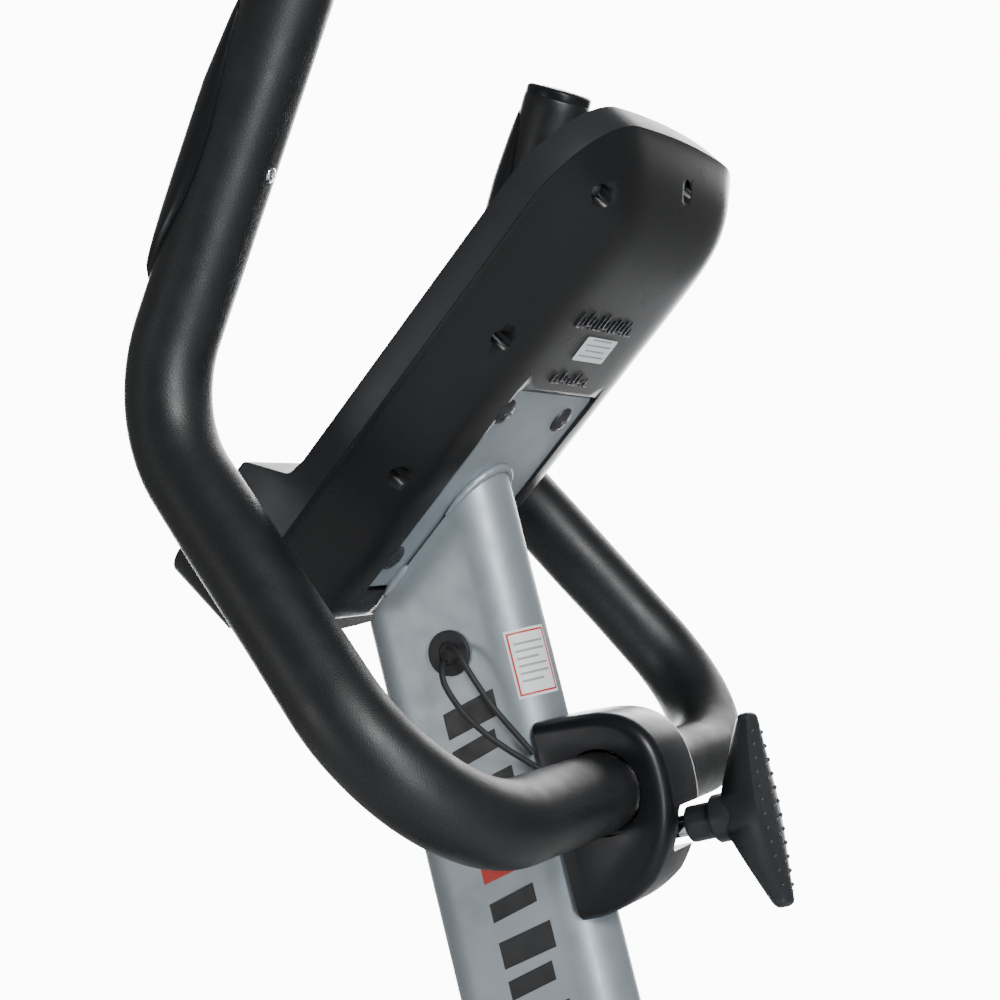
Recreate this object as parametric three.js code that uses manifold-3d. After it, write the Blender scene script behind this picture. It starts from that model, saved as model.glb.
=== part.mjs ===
// Upright exercise bike, built from its separate pieces.
// Millimetres. +X is forward, +Y is the rider's left, +Z is up. The origin is on the floor,
// under the middle of the machine.

import * as THREE from "three";
import { mergeVertices } from "three/addons/utils/BufferGeometryUtils.js";
import Module from "manifold-3d";

const wasm = await Module();
wasm.setup();

// ---------------------------------------------------------------- driving dimensions

const DEG = Math.PI / 180;
const GAP = 0.3; // air between pieces that touch
const SIDES = { right: -1, left: 1 };

// Floor frame
const FRONT_X = 455; // centre of the front stabiliser
const REAR_X = -465; // centre of the rear stabiliser
const HALF_WIDTH = 265; // outer face of every foot
const STABILISER = { width: 80, height: 40, wall: 2, z: 45, frontHalf: 200, rearHalf: 225 };
const BASE = { halfLength: 500, width: 70, height: 40, corner: 10, wall: 2.5, top: 106 };
const FOOT = { height: 67, overhang: 5, corner: 14 };
const WHEEL = { x: 485, z: 27.5, radius: 25, width: 22, bore: 4.3, pin: 4 };

// Mast and its axis
const MAST_LEAN = 15.8 * DEG;
const MAST = { width: 85, depth: 40, wall: 2, axisV: -59, bottomU: -576 };
const SOCKET_TOP_U = -455;
const GROMMET = { u: 76.3, v: -55.3, hole: 8.5, lip: 10.5, slot: 5 };

// Handlebar: its axis through the clamp is the reference for the whole top of the bike
const BAR = { x: 250, z: 1060, outer: 12.7, inner: 11, foam: 18, foamInner: 13.8, fillet: 64 };
const BAR_CORNER = [0, 170.5, 0];
const BAR_BEND = [-150.1, 140.5, 163.1];
const BAR_END = [-88.5, 126.2, 339.3];
const FOAM_START = 15; // half the bare length in the clamp
const SENSOR = { from: 50, to: 170, inner: 18.3, outer: 23, spread: 62 * DEG };

// Clamp on the mast, in mast coordinates (v forward, u up)
const COVER = { halfWidth: 20.5, wall: 3, barHole: 18.9, rear: -24, bevel: 5 };
const SCREW_U = -22.9;
const KNOB = { halfLength: 42, halfWidth: 14.5, tipWidth: 5, turn: -10 * DEG };
const SCREW_RADIUS = 4;

// Console, in its own coordinates (s up the panel, f towards the rider)
const TILT = 49 * DEG;
const CONSOLE = { dx: -70, dz: 130, bottom: -86, top: 181, halfWidth: 93, corner: 48 };
const BACK = { face: -2, seam: 23, wall: 2.5, halfFlat: 51, lowFlat: -76, topFlat: 160 };
const FRONT = { face: 36, ridge: 59, wall: 2.5, panel: 4.5, foot: -103 };
const PLATE = { halfWidth: 40, low: -55, high: 61, thickness: 3 };
const LENS = { low: 6, high: 162, halfWidth: 74, thickness: 2.2, ledge: 5 };
const BUTTON = { s: -64, pitch: 30, radius: 9, flange: 11, count: 5 };

// Seat
const SEAT_LEAN = 18 * DEG;
const SEAT = { x: -95, tubeTop: 500, width: 60, depth: 36, wall: 2 };
const KNOB_SCREW = 5;
const SEAT_KNOB_Z = 448;
const POST = { width: 52, depth: 28, wall: 2, bottom: 230, topZ: 848 };
const SADDLE = { x: -332, padLow: 868, padHigh: 922, noseX: 140, rearX: -135, halfRear: 120 };

// Drive train
const CRANK = { x: 20, z: 285, radius: 10, arm: 170, inner: 80, outer: 94, rest: -25 * DEG };
const FLYWHEEL = { x: 215, z: 290, radius: 125, low: 5, high: 27, shaft: 8 };
const BELT = { low: -28, high: -14, thickness: 2.5 };
const DRIVE_RADIUS = 110;
const DRIVEN_RADIUS = 18;
const IDLER_RADIUS = 15;
const BRACKET = { inner: 45, outer: 50 };
const BRAKE_PIVOT = { x: 145, z: 411 };
const PEDAL = { inner: 106, outer: 194, halfLength: 48, low: -21, high: 7, spindle: 7 };

// Shroud
const SHROUD_TOP = 506;
const SHROUD = { halfWidth: 65, wall: 3, bottom: 110, axleHole: 16, edge: 10 };

// ---------------------------------------------------------------- finishes

function finish(color, roughness, metalness = 0) {
  return { color, roughness, metalness };
}

const SILVER = finish(0xa9adb0, 0.4, 0.6);
const BLACK_PAINT = finish(0x1c1d1f, 0.45, 0.3);
const CHROME = finish(0xd6d8da, 0.15, 1);
const STEEL = finish(0x8b8f93, 0.35, 1);
const IRON = finish(0x55585a, 0.5, 0.9);
const FOAM = finish(0x1b1b1c, 0.95);
const PLASTIC = finish(0x222326, 0.5);
const SHELL = finish(0x2d2e31, 0.4);
const GREY_PLASTIC = finish(0x8d9093, 0.45);
const RUBBER = finish(0x151516, 0.8);
const GLASS = finish(0x20262b, 0.1);

// ---------------------------------------------------------------- solids

function bareIndexed(geometry) {
  const bare = geometry.clone();
  bare.deleteAttribute("normal");
  bare.deleteAttribute("uv");
  return mergeVertices(bare, 1e-3);
}

// A closed geometry as a manifold solid. Triangles that collapse on an axis are dropped.
function solid(geometry) {
  const merged = bareIndexed(geometry);
  const corner = merged.index.array;
  const kept = [];
  for (let i = 0; i < corner.length; i += 3) {
    const [a, b, c] = [corner[i], corner[i + 1], corner[i + 2]];
    if (a !== b && b !== c && c !== a) kept.push(a, b, c);
  }
  const mesh = new wasm.Mesh({
    numProp: 3,
    vertProperties: new Float32Array(merged.attributes.position.array),
    triVerts: new Uint32Array(kept),
  });
  return new wasm.Manifold(mesh);
}

function geometryOf(body) {
  const mesh = body.getMesh();
  const geometry = new THREE.BufferGeometry();
  const position = new Float32Array(mesh.vertProperties);
  geometry.setAttribute("position", new THREE.BufferAttribute(position, 3));
  geometry.setIndex(new THREE.BufferAttribute(new Uint32Array(mesh.triVerts), 1));
  return geometry;
}

function join(...geometries) {
  return geometries.map(solid).reduce((sum, part) => sum.add(part));
}

function cut(body, ...geometries) {
  return geometries.map(solid).reduce((rest, part) => rest.subtract(part), body);
}

// Faces of a closed geometry, turned over where they point inward.
function outwardFacing(geometry) {
  const bare = bareIndexed(geometry);
  const corner = bare.index.array;
  const at = (i) => new THREE.Vector3().fromBufferAttribute(bare.attributes.position, i);
  let volume = 0;
  for (let i = 0; i < corner.length; i += 3) {
    volume += at(corner[i]).dot(at(corner[i + 1]).cross(at(corner[i + 2])));
  }
  if (volume < 0) {
    for (let i = 0; i < corner.length; i += 3) {
      [corner[i], corner[i + 1]] = [corner[i + 1], corner[i]];
    }
  }
  return bare;
}

// ---------------------------------------------------------------- outlines

function circle(radius, x = 0, y = 0) {
  const shape = new THREE.Shape();
  shape.absarc(x, y, radius, 0, 2 * Math.PI);
  return shape;
}

function polygon(points) {
  return new THREE.Shape(points.map(([x, y]) => new THREE.Vector2(x, y)));
}

// A flat oval, its long side along x.
function stadium(width, depth, x = 0, y = 0) {
  const radius = depth / 2;
  const reach = width / 2 - radius;
  const shape = new THREE.Shape();
  shape.absarc(x + reach, y, radius, -Math.PI / 2, Math.PI / 2);
  shape.absarc(x - reach, y, radius, Math.PI / 2, 1.5 * Math.PI);
  return shape;
}

// Rectangle with round corners, as points, with its own radius at the low-x and high-x ends.
function roundedPoints(x0, x1, halfY, lowRadius, highRadius, steps = 4) {
  const corners = [
    [x1 - highRadius, halfY - highRadius, highRadius, 0],
    [x0 + lowRadius, halfY - lowRadius, lowRadius, 1],
    [x0 + lowRadius, lowRadius - halfY, lowRadius, 2],
    [x1 - highRadius, highRadius - halfY, highRadius, 3],
  ];
  const points = [];
  for (const [cx, cy, radius, quarter] of corners) {
    for (let i = 0; i <= steps; i += 1) {
      const angle = (quarter + i / steps) * (Math.PI / 2);
      points.push([cx + radius * Math.cos(angle), cy + radius * Math.sin(angle)]);
    }
  }
  return points;
}

function rounded(x0, x1, y0, y1, radius, steps = 3) {
  const middle = (y0 + y1) / 2;
  const points = roundedPoints(x0, x1, (y1 - y0) / 2, radius, radius, steps);
  return polygon(points.map(([x, y]) => [x, y + middle]));
}

function hollow(outer, inner) {
  outer.holes.push(inner);
  return outer;
}

// ---------------------------------------------------------------- extrusions and turnings

function alongZ(shape, z0, z1, detail = 4) {
  const geometry = new THREE.ExtrudeGeometry(shape, {
    depth: z1 - z0,
    bevelEnabled: false,
    curveSegments: detail,
  });
  return geometry.translate(0, 0, z0);
}

// The outline is drawn in x and z.
function alongY(shape, y0, y1, detail = 4) {
  const geometry = alongZ(shape, 0, y1 - y0, detail);
  return geometry.rotateX(Math.PI / 2).translate(0, y1, 0);
}

// The outline is drawn in y and z.
function alongX(shape, x0, x1, detail = 4) {
  const geometry = alongZ(shape, 0, x1 - x0, detail);
  return geometry.rotateX(Math.PI / 2).rotateZ(Math.PI / 2).translate(x0, 0, 0);
}

function block(x0, x1, y0, y1, z0, z1) {
  const geometry = new THREE.BoxGeometry(x1 - x0, y1 - y0, z1 - z0);
  return geometry.translate((x0 + x1) / 2, (y0 + y1) / 2, (z0 + z1) / 2);
}

function rodY(radius, x, z, y0, y1, sides = 16) {
  const geometry = new THREE.CylinderGeometry(radius, radius, y1 - y0, sides);
  return geometry.translate(x, (y0 + y1) / 2, z);
}

function rodX(radius, y, z, x0, x1, sides = 16) {
  const geometry = new THREE.CylinderGeometry(radius, radius, x1 - x0, sides);
  return geometry.rotateZ(Math.PI / 2).translate((x0 + x1) / 2, y, z);
}

function rodZ(radius, x, y, z0, z1, sides = 16) {
  const geometry = new THREE.CylinderGeometry(radius, radius, z1 - z0, sides);
  return geometry.rotateX(Math.PI / 2).translate(x, y, (z0 + z1) / 2);
}

// Turned about the y axis, from a closed profile of [radius, y].
function turned(profile, sides = 20) {
  const closed = [...profile, profile[0]].map(([r, y]) => new THREE.Vector2(r, y));
  return outwardFacing(new THREE.LatheGeometry(closed, sides));
}

// Two outlines of equal length, joined by flat sides and closed at both ends.
function loft(lowPoints, lowZ, highPoints, highZ) {
  const count = lowPoints.length;
  const position = [];
  for (const [x, y] of lowPoints) position.push(x, y, lowZ);
  for (const [x, y] of highPoints) position.push(x, y, highZ);
  const index = [];
  for (let i = 0; i < count; i += 1) {
    const next = (i + 1) % count;
    index.push(i, next, count + next, i, count + next, count + i);
  }
  const outline = lowPoints.map(([x, y]) => new THREE.Vector2(x, y));
  for (const [a, b, c] of THREE.ShapeUtils.triangulateShape(outline, [])) {
    index.push(a, c, b, count + a, count + b, count + c);
  }
  const geometry = new THREE.BufferGeometry();
  geometry.setAttribute("position", new THREE.Float32BufferAttribute(position, 3));
  geometry.setIndex(index);
  return geometry;
}

// ---------------------------------------------------------------- routes for bent tubes

// A path whose steps are exactly the stations it is given, so straight runs take one step.
class Route extends THREE.Curve {
  constructor(stations) {
    super();
    this.stations = stations;
  }

  station(t) {
    return this.stations[Math.round(t * (this.stations.length - 1))];
  }

  getPoint(t) {
    return this.station(t).point.clone();
  }

  getPointAt(t) {
    return this.getPoint(t);
  }

  getTangentAt(t) {
    return this.station(t).tangent.clone();
  }
}

// Stations along straight runs with a round bend of one radius at each inner corner.
function filleted(corners, radius, bendSteps) {
  const unit = (from, to) => to.clone().sub(from).normalize();
  const stations = [{ point: corners[0], tangent: unit(corners[0], corners[1]) }];
  for (let i = 1; i < corners.length - 1; i += 1) {
    const before = unit(corners[i - 1], corners[i]);
    const after = unit(corners[i], corners[i + 1]);
    const turn = before.angleTo(after);
    const start = corners[i].clone().addScaledVector(before, -radius * Math.tan(turn / 2));
    const inward = after.clone().addScaledVector(before, -before.dot(after)).normalize();
    for (let step = 0; step <= bendSteps; step += 1) {
      const angle = (turn * step) / bendSteps;
      const point = start.clone().addScaledVector(before, radius * Math.sin(angle));
      point.addScaledVector(inward, radius * (1 - Math.cos(angle)));
      const tangent = before.clone().multiplyScalar(Math.cos(angle));
      tangent.addScaledVector(inward, Math.sin(angle));
      stations.push({ point, tangent });
    }
  }
  const last = corners.length - 1;
  stations.push({ point: corners[last], tangent: unit(corners[last - 1], corners[last]) });
  return stations;
}

function alongRoute(shape, stations, detail) {
  return new THREE.ExtrudeGeometry(shape, {
    steps: stations.length - 1,
    extrudePath: new Route(stations),
    curveSegments: detail,
  });
}

// ---------------------------------------------------------------- scene graph

const bike = new THREE.Group();

function frameAt(x, y, z, leanBack) {
  const frame = new THREE.Group();
  frame.position.set(x, y, z);
  frame.rotation.y = -leanBack;
  frame.updateMatrix();
  bike.add(frame);
  return frame;
}

const mastFrame = frameAt(BAR.x, 0, BAR.z, MAST_LEAN);
const consoleFrame = frameAt(BAR.x + CONSOLE.dx, 0, BAR.z + CONSOLE.dz, TILT);
const seatFrame = frameAt(SEAT.x, 0, BASE.top, SEAT_LEAN);
const barFrame = frameAt(BAR.x, 0, BAR.z, 0);
const crankFrame = frameAt(CRANK.x, 0, CRANK.z, 0);
const flywheelFrame = frameAt(FLYWHEEL.x, 0, FLYWHEEL.z, 0);

// Moves a tool drawn in one frame (or in the bike's own) into another.
function moved(geometry, from, to) {
  const matrix = new THREE.Matrix4();
  if (to !== bike) matrix.copy(to.matrix).invert();
  if (from !== bike) matrix.multiply(from.matrix);
  return geometry.clone().applyMatrix4(matrix);
}

function add(parent, name, shape, look) {
  const geometry = shape.isBufferGeometry ? shape : geometryOf(shape);
  const mesh = new THREE.Mesh(geometry, new THREE.MeshStandardMaterial(look));
  mesh.name = name;
  parent.add(mesh);
  return mesh;
}

// ---------------------------------------------------------------- floor frame

function stabiliserTube(x, half) {
  const { width, height, wall, z } = STABILISER;
  const outer = stadium(width, height, x, z);
  const inner = stadium(width - 2 * wall, height - 2 * wall, x, z);
  return alongY(hollow(outer, inner), -half, half);
}

function addFloorFrame() {
  add(bike, "front_stabilizer", stabiliserTube(FRONT_X, STABILISER.frontHalf), SILVER);
  add(bike, "rear_stabilizer", stabiliserTube(REAR_X, STABILISER.rearHalf), SILVER);
  const { halfLength, width, height, corner, wall, top } = BASE;
  const outer = rounded(-width / 2, width / 2, top - height, top, corner);
  const inner = rounded(
    wall - width / 2, width / 2 - wall, top - height + wall, top - wall, corner - wall,
  );
  const tube = solid(alongX(hollow(outer, inner), -halfLength, halfLength));
  const dip = STABILISER.z + STABILISER.height / 2 + GAP;
  const clear = block(-halfLength - 1, halfLength + 1, -width, width, 0, dip);
  add(bike, "base_tube", cut(tube, clear), SILVER);
}

// A mirrored copy across the middle plane, its faces turned to point out again.
function mirrored(geometry) {
  const copy = bareIndexed(geometry).scale(1, -1, 1);
  const corner = copy.index.array;
  for (let i = 0; i < corner.length; i += 3) {
    [corner[i], corner[i + 1]] = [corner[i + 1], corner[i]];
  }
  return copy;
}

// Adds the left piece as drawn and the right piece as its mirror image.
function addPair(parent, name, shape, look) {
  const left = shape.isBufferGeometry ? shape : geometryOf(shape);
  add(parent, `${name}_left`, left, look);
  add(parent, `${name}_right`, mirrored(left), look);
}

function footProfile(x) {
  const half = STABILISER.width / 2 + FOOT.overhang;
  return rounded(x - half, x + half, 0, FOOT.height, FOOT.corner);
}

function addFeet() {
  const rear = alongY(footProfile(REAR_X), STABILISER.rearHalf + GAP, HALF_WIDTH);
  addPair(bike, "rear_foot", rear, PLASTIC);
  const wheelFace = HALF_WIDTH - WHEEL.width - 5;
  const head = HALF_WIDTH - 2.5;
  const front = join(
    alongY(footProfile(FRONT_X), STABILISER.frontHalf + GAP, wheelFace),
    rodY(WHEEL.pin, WHEEL.x, WHEEL.z, wheelFace - 5, head + 1),
    rodY(2 * WHEEL.pin, WHEEL.x, WHEEL.z, head, HALF_WIDTH),
  );
  addPair(bike, "front_foot", front, PLASTIC);
  const { radius, width, bore } = WHEEL;
  const tread = turned([
    [bore, 0], [10, 0], [12, 3], [radius - 5, 3], [radius - 4, 0], [radius - 1.5, 0],
    [radius, 2], [radius, width - 2], [radius - 1.5, width], [bore, width],
  ], 18);
  const wheel = tread.translate(WHEEL.x, wheelFace + 1.2, WHEEL.z);
  addPair(bike, "transport_wheel", wheel, RUBBER);
}

// ---------------------------------------------------------------- masts and tubes

function addMast() {
  const { width, depth, wall, axisV, bottomU } = MAST;
  const tube = hollow(
    stadium(width, depth, axisV, 0),
    stadium(width - 2 * wall, depth - 2 * wall, axisV, 0),
  );
  const abovePlate = block(-400, 400, -200, 200, -GAP, 400);
  const hole = rodY(GROMMET.hole, GROMMET.v, GROMMET.u, -depth, 0);
  const mast = cut(
    solid(alongZ(tube, bottomU, 250)),
    moved(abovePlate, consoleFrame, mastFrame),
    hole,
  );
  add(mastFrame, "mast", mast, SILVER);

  const slack = wall + GAP;
  const socketWidth = width - 2 * slack;
  const socketDepth = depth - 2 * slack;
  const socketTube = hollow(
    stadium(socketWidth, socketDepth, axisV, 0),
    stadium(socketWidth - 6, socketDepth - 6, axisV, 0),
  );
  const belowBase = block(-900, 900, -200, 200, -600, BASE.top + GAP);
  const socket = cut(
    solid(alongZ(socketTube, -1100, SOCKET_TOP_U)),
    moved(belowBase, bike, mastFrame),
  );
  add(mastFrame, "mast_socket", socket, BLACK_PAINT);

  const collarRing = hollow(
    stadium(width + 26, depth + 24, axisV, 0),
    stadium(width + 2 * GAP, depth + 2 * GAP, axisV, 0),
  );
  const belowCollar = block(-900, 900, -200, 200, -600, SHROUD_TOP + GAP);
  const collar = cut(
    solid(alongZ(collarRing, bottomU - 40, bottomU + 44)),
    moved(belowCollar, bike, mastFrame),
  );
  add(mastFrame, "mast_collar", collar, PLASTIC);
}

function addGrommet() {
  const reach = MAST.depth / 2;
  const inside = reach - MAST.wall - GAP;
  const body = join(
    rodY(GROMMET.hole - GAP, GROMMET.v, GROMMET.u, -reach - GAP - 1, -inside + 1),
    rodY(GROMMET.lip, GROMMET.v, GROMMET.u, -reach - 2, -reach - GAP),
    rodY(GROMMET.lip, GROMMET.v, GROMMET.u, -inside, 2.5 - inside),
  );
  const slot = rodY(GROMMET.slot, GROMMET.v, GROMMET.u, -reach - 3, 0, 12);
  add(mastFrame, "grommet", cut(body, slot), RUBBER);
}

function addSeatTube() {
  const { width, depth, wall, tubeTop } = SEAT;
  const tube = hollow(
    stadium(width, depth),
    stadium(width - 2 * wall, depth - 2 * wall),
  );
  const belowBase = block(-900, 900, -200, 200, -600, BASE.top + GAP);
  const knobHole = rodX(KNOB_SCREW + GAP, 0, SEAT_KNOB_Z, -width, 0);
  const seatTube = cut(
    solid(alongZ(tube, -40, tubeTop)),
    moved(belowBase, bike, seatFrame),
    knobHole,
  );
  add(seatFrame, "seat_tube", seatTube, SILVER);

  const sleeve = hollow(
    stadium(width - 2 * wall - 2 * GAP, depth - 2 * wall - 2 * GAP),
    stadium(POST.width + 2 * GAP, POST.depth + 2 * GAP),
  );
  const flange = hollow(
    stadium(width + 6, depth + 6),
    stadium(POST.width + 2 * GAP, POST.depth + 2 * GAP),
  );
  const bushing = join(
    alongZ(sleeve, tubeTop - 40, tubeTop + 2),
    alongZ(flange, tubeTop + GAP, tubeTop + 8),
  );
  add(seatFrame, "seat_post_bushing", bushing, PLASTIC);
}

// ---------------------------------------------------------------- seat

// Saddle outline seen from above, as a closed smooth curve.
function saddleOutline(scale) {
  const { noseX, rearX, halfRear } = SADDLE;
  const half = [
    [rearX, 0], [rearX + 6, 0.42 * halfRear], [rearX + 22, 0.78 * halfRear],
    [rearX + 62, halfRear], [rearX + 115, 0.86 * halfRear], [rearX + 165, 0.5 * halfRear],
    [noseX - 50, 0.29 * halfRear], [noseX - 12, 0.22 * halfRear], [noseX, 0],
  ];
  const other = half.slice(1, -1).reverse().map(([x, y]) => [x, -y]);
  const points = [...half, ...other].map(([x, y]) => new THREE.Vector3(x, y, 0));
  const curve = new THREE.CatmullRomCurve3(points, true, "centripetal");
  return curve.getPoints(40).slice(0, -1).map((p) => [p.x * scale, -p.y * scale]);
}

function addSeat() {
  const { width, depth, wall, bottom, topZ } = POST;
  const tube = hollow(stadium(width, depth), stadium(width - 2 * wall, depth - 2 * wall));
  const aboveTop = block(-900, 900, -200, 200, topZ, topZ + 400);
  const post = cut(
    solid(alongZ(tube, bottom, 900)),
    moved(aboveTop, bike, seatFrame),
  );
  add(seatFrame, "seat_post", post, CHROME);

  const padLow = SADDLE.padLow;
  const centre = SADDLE.x;
  const pan = new THREE.ExtrudeGeometry(polygon(saddleOutline(0.93)), {
    depth: padLow - GAP - topZ - 9,
    bevelEnabled: false,
  });
  pan.translate(centre, 0, topZ + 9);
  const clampHalf = { x: 46, y: 27 };
  const clamp = block(
    centre - clampHalf.x - 2, centre + clampHalf.x - 2, -clampHalf.y, clampHalf.y,
    topZ - 34, topZ + 12,
  );
  const postSpace = alongZ(stadium(width + 2 * GAP, depth + 2 * GAP), 600, 900);
  const aboveGap = block(-900, 900, -200, 200, topZ + GAP, topZ + 400);
  const bore = cut(solid(moved(postSpace, seatFrame, bike)), aboveGap);
  const base = join(pan, clamp).subtract(bore);
  add(bike, "saddle_base", base, PLASTIC);

  const bevel = 14;
  const pad = new THREE.ExtrudeGeometry(polygon(saddleOutline(0.9)), {
    depth: SADDLE.padHigh - padLow - 2 * bevel,
    bevelThickness: bevel,
    bevelSize: bevel,
    bevelSegments: 2,
  });
  pad.translate(centre, 0, padLow + bevel);
  add(bike, "saddle_cushion", pad, FOAM);

  const face = -SEAT.width / 2;
  const postFace = -width / 2 - GAP;
  const knob = turned([
    [0, postFace], [KNOB_SCREW, postFace], [KNOB_SCREW, face - 6], [9, face - 6],
    [10, face - 14], [24, face - 18], [26, face - 24], [24, face - 34], [14, face - 40],
    [0, face - 41],
  ], 18);
  knob.rotateZ(-Math.PI / 2).translate(0, 0, SEAT_KNOB_Z);
  add(seatFrame, "seat_height_knob", knob, PLASTIC);
}

// ---------------------------------------------------------------- drive train

function addDriveBracket() {
  const { inner, outer } = BRACKET;
  const low = BASE.top + GAP;
  const side = polygon([
    [-55, low], [255, low], [262, 285], [240, 318], [160, 428], [132, 428], [112, 330],
    [45, 318], [-8, 312], [-22, 270],
  ]);
  const plates = join(
    alongY(side, inner, outer),
    alongY(side, -outer, -inner),
    block(-55, 255, -outer + 1, outer - 1, low, low + 5),
    rodY(22, CRANK.x, CRANK.z, -4, inner + 1, 24),
    rodY(4, BRAKE_PIVOT.x, BRAKE_PIVOT.z, 0, inner + 1, 12),
  );
  const bracket = cut(
    plates,
    rodY(CRANK.radius + GAP, CRANK.x, CRANK.z, -6, outer + 1, 24),
    rodY(26, CRANK.x, CRANK.z, -outer - 1, -inner + 1, 24),
    rodY(FLYWHEEL.shaft + GAP, FLYWHEEL.x, FLYWHEEL.z, -outer - 1, outer + 1, 16),
  );
  add(bike, "drive_bracket", bracket, BLACK_PAINT);
}

function addCrankset() {
  add(crankFrame, "crank_axle", rodY(CRANK.radius, 0, 0, -CRANK.outer, CRANK.outer, 24), STEEL);
  const bore = CRANK.radius + GAP;
  const rim = DRIVE_RADIUS;
  const pulley = turned([
    [bore, -40], [22, -40], [22, -24], [rim - 6, -24], [rim - 6, -31], [rim, -31],
    [rim, -11], [rim - 6, -11], [rim - 6, -19], [22, -19], [22, -8], [bore, -8],
  ], 28);
  add(crankFrame, "drive_pulley", pulley, IRON);

  const arm = new THREE.Shape();
  arm.absarc(0, 0, 18, 0.5 * Math.PI, 1.5 * Math.PI);
  arm.absarc(CRANK.arm, 0, 14, -0.5 * Math.PI, 0.5 * Math.PI);
  const body = cut(
    solid(alongY(arm, CRANK.inner, CRANK.outer)),
    rodY(bore, 0, 0, CRANK.inner - 1, CRANK.outer + 1, 24),
    rodY(PEDAL.spindle + GAP, CRANK.arm, 0, CRANK.inner - 1, CRANK.outer + 1, 20),
  );
  for (const [side, sign] of Object.entries(SIDES)) {
    const geometry = geometryOf(body);
    const mesh = add(crankFrame, `crank_arm_${side}`, sign > 0 ? geometry : mirrored(geometry), IRON);
    mesh.rotation.y = sign > 0 ? Math.PI - CRANK.rest : -CRANK.rest;
  }
}

function addPedals() {
  const { inner, outer, halfLength, low, high, spindle } = PEDAL;
  const pedalAxle = turned([
    [0, CRANK.inner], [spindle, CRANK.inner], [spindle, CRANK.outer + GAP],
    [11, CRANK.outer + GAP], [11, CRANK.outer + 5], [spindle, CRANK.outer + 5],
    [spindle, outer - 5], [0, outer - 5],
  ], 16);
  const outline = rounded(-halfLength, halfLength, inner, outer, 16);
  const slot = (x0, x1) => block(x0, x1, inner + 14, outer - 14, low - 1, high + 1);
  const body = cut(
    solid(alongZ(outline, low, high)),
    rodY(spindle + GAP, 0, 0, inner - 1, outer - 4, 16),
    slot(-halfLength + 12, -halfLength + 30),
    slot(halfLength - 30, halfLength - 12),
  );
  const middle = (inner + outer) / 2;
  const reach = (outer - inner) / 2 + GAP;
  const arch = (half, top, bottom) => {
    const shape = new THREE.Shape();
    shape.moveTo(middle - half, bottom);
    shape.lineTo(middle + half, bottom);
    shape.lineTo(middle + half, top - half * 0.7);
    shape.bezierCurveTo(
      middle + half, top - 6, middle + half - 18, top, middle, top,
    );
    shape.bezierCurveTo(
      middle - half + 18, top, middle - half, top - 6, middle - half, top - half * 0.7,
    );
    return shape;
  };
  const strap = cut(
    solid(alongX(arch(reach + 2.5, 62.5, low + 4), 11, 41, 6)),
    alongX(arch(reach, 60, low - 5), 10, 42, 6),
  );
  for (const [side, sign] of Object.entries(SIDES)) {
    const angle = CRANK.rest + (sign > 0 ? Math.PI : 0);
    const station = new THREE.Group();
    station.position.set(CRANK.arm * Math.cos(angle), 0, CRANK.arm * Math.sin(angle));
    crankFrame.add(station);
    const own = (geometry) => (sign > 0 ? geometry : mirrored(geometry));
    add(station, `pedal_axle_${side}`, own(pedalAxle), STEEL);
    add(station, `pedal_${side}`, own(geometryOf(body)), PLASTIC);
    add(station, `pedal_strap_${side}`, own(geometryOf(strap)), RUBBER);
  }
}

function addFlywheel() {
  const { radius, low, high, shaft } = FLYWHEEL;
  const bore = shaft + GAP;
  const wheel = turned([
    [bore, low - 4], [26, low - 4], [26, low + 4], [radius - 24, low + 4], [radius - 20, low],
    [radius, low], [radius, high], [radius - 20, high], [radius - 24, high - 4],
    [26, high - 4], [26, high + 4], [bore, high + 4],
  ], 32);
  add(flywheelFrame, "flywheel", wheel, IRON);
  const end = BRACKET.outer + 4;
  const rim = DRIVEN_RADIUS;
  const axle = turned([
    [0, -end], [shaft, -end], [shaft, -33], [rim + 3, -33], [rim + 3, -30.5], [rim, -30.5],
    [rim, -11.5], [rim + 3, -11.5], [rim + 3, -9], [shaft, -9], [shaft, end], [0, end],
  ], 16);
  add(flywheelFrame, "flywheel_axle", axle, STEEL);
}

// Where a line touches both belt wheels on one side of their centre line.
function beltNormal(sign) {
  const dx = FLYWHEEL.x - CRANK.x;
  const dz = FLYWHEEL.z - CRANK.z;
  const centreAngle = Math.atan2(dz, dx);
  return centreAngle + sign * Math.acos((DRIVE_RADIUS - DRIVEN_RADIUS) / Math.hypot(dx, dz));
}

function beltLoop(offset) {
  const shape = new THREE.Shape();
  const [low, high] = [beltNormal(-1), beltNormal(1)];
  shape.absarc(FLYWHEEL.x, FLYWHEEL.z, DRIVEN_RADIUS + offset, low, high);
  shape.absarc(CRANK.x, CRANK.z, DRIVE_RADIUS + offset, high, low + 2 * Math.PI);
  return shape;
}

function addBelt() {
  const loop = hollow(beltLoop(BELT.thickness + 1), beltLoop(1));
  add(bike, "drive_belt", alongY(loop, BELT.low, BELT.high, 12), RUBBER);
}

function idlerCentre() {
  const normal = beltNormal(-1);
  const run = (wheel, radius) => [
    wheel.x + radius * Math.cos(normal),
    wheel.z + radius * Math.sin(normal),
  ];
  const [x0, z0] = run(CRANK, DRIVE_RADIUS);
  const [x1, z1] = run(FLYWHEEL, DRIVEN_RADIUS);
  const away = BELT.thickness + 1.6 + IDLER_RADIUS;
  return {
    x: (x0 + x1) / 2 + away * Math.cos(normal),
    z: (z0 + z1) / 2 + away * Math.sin(normal),
  };
}

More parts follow.
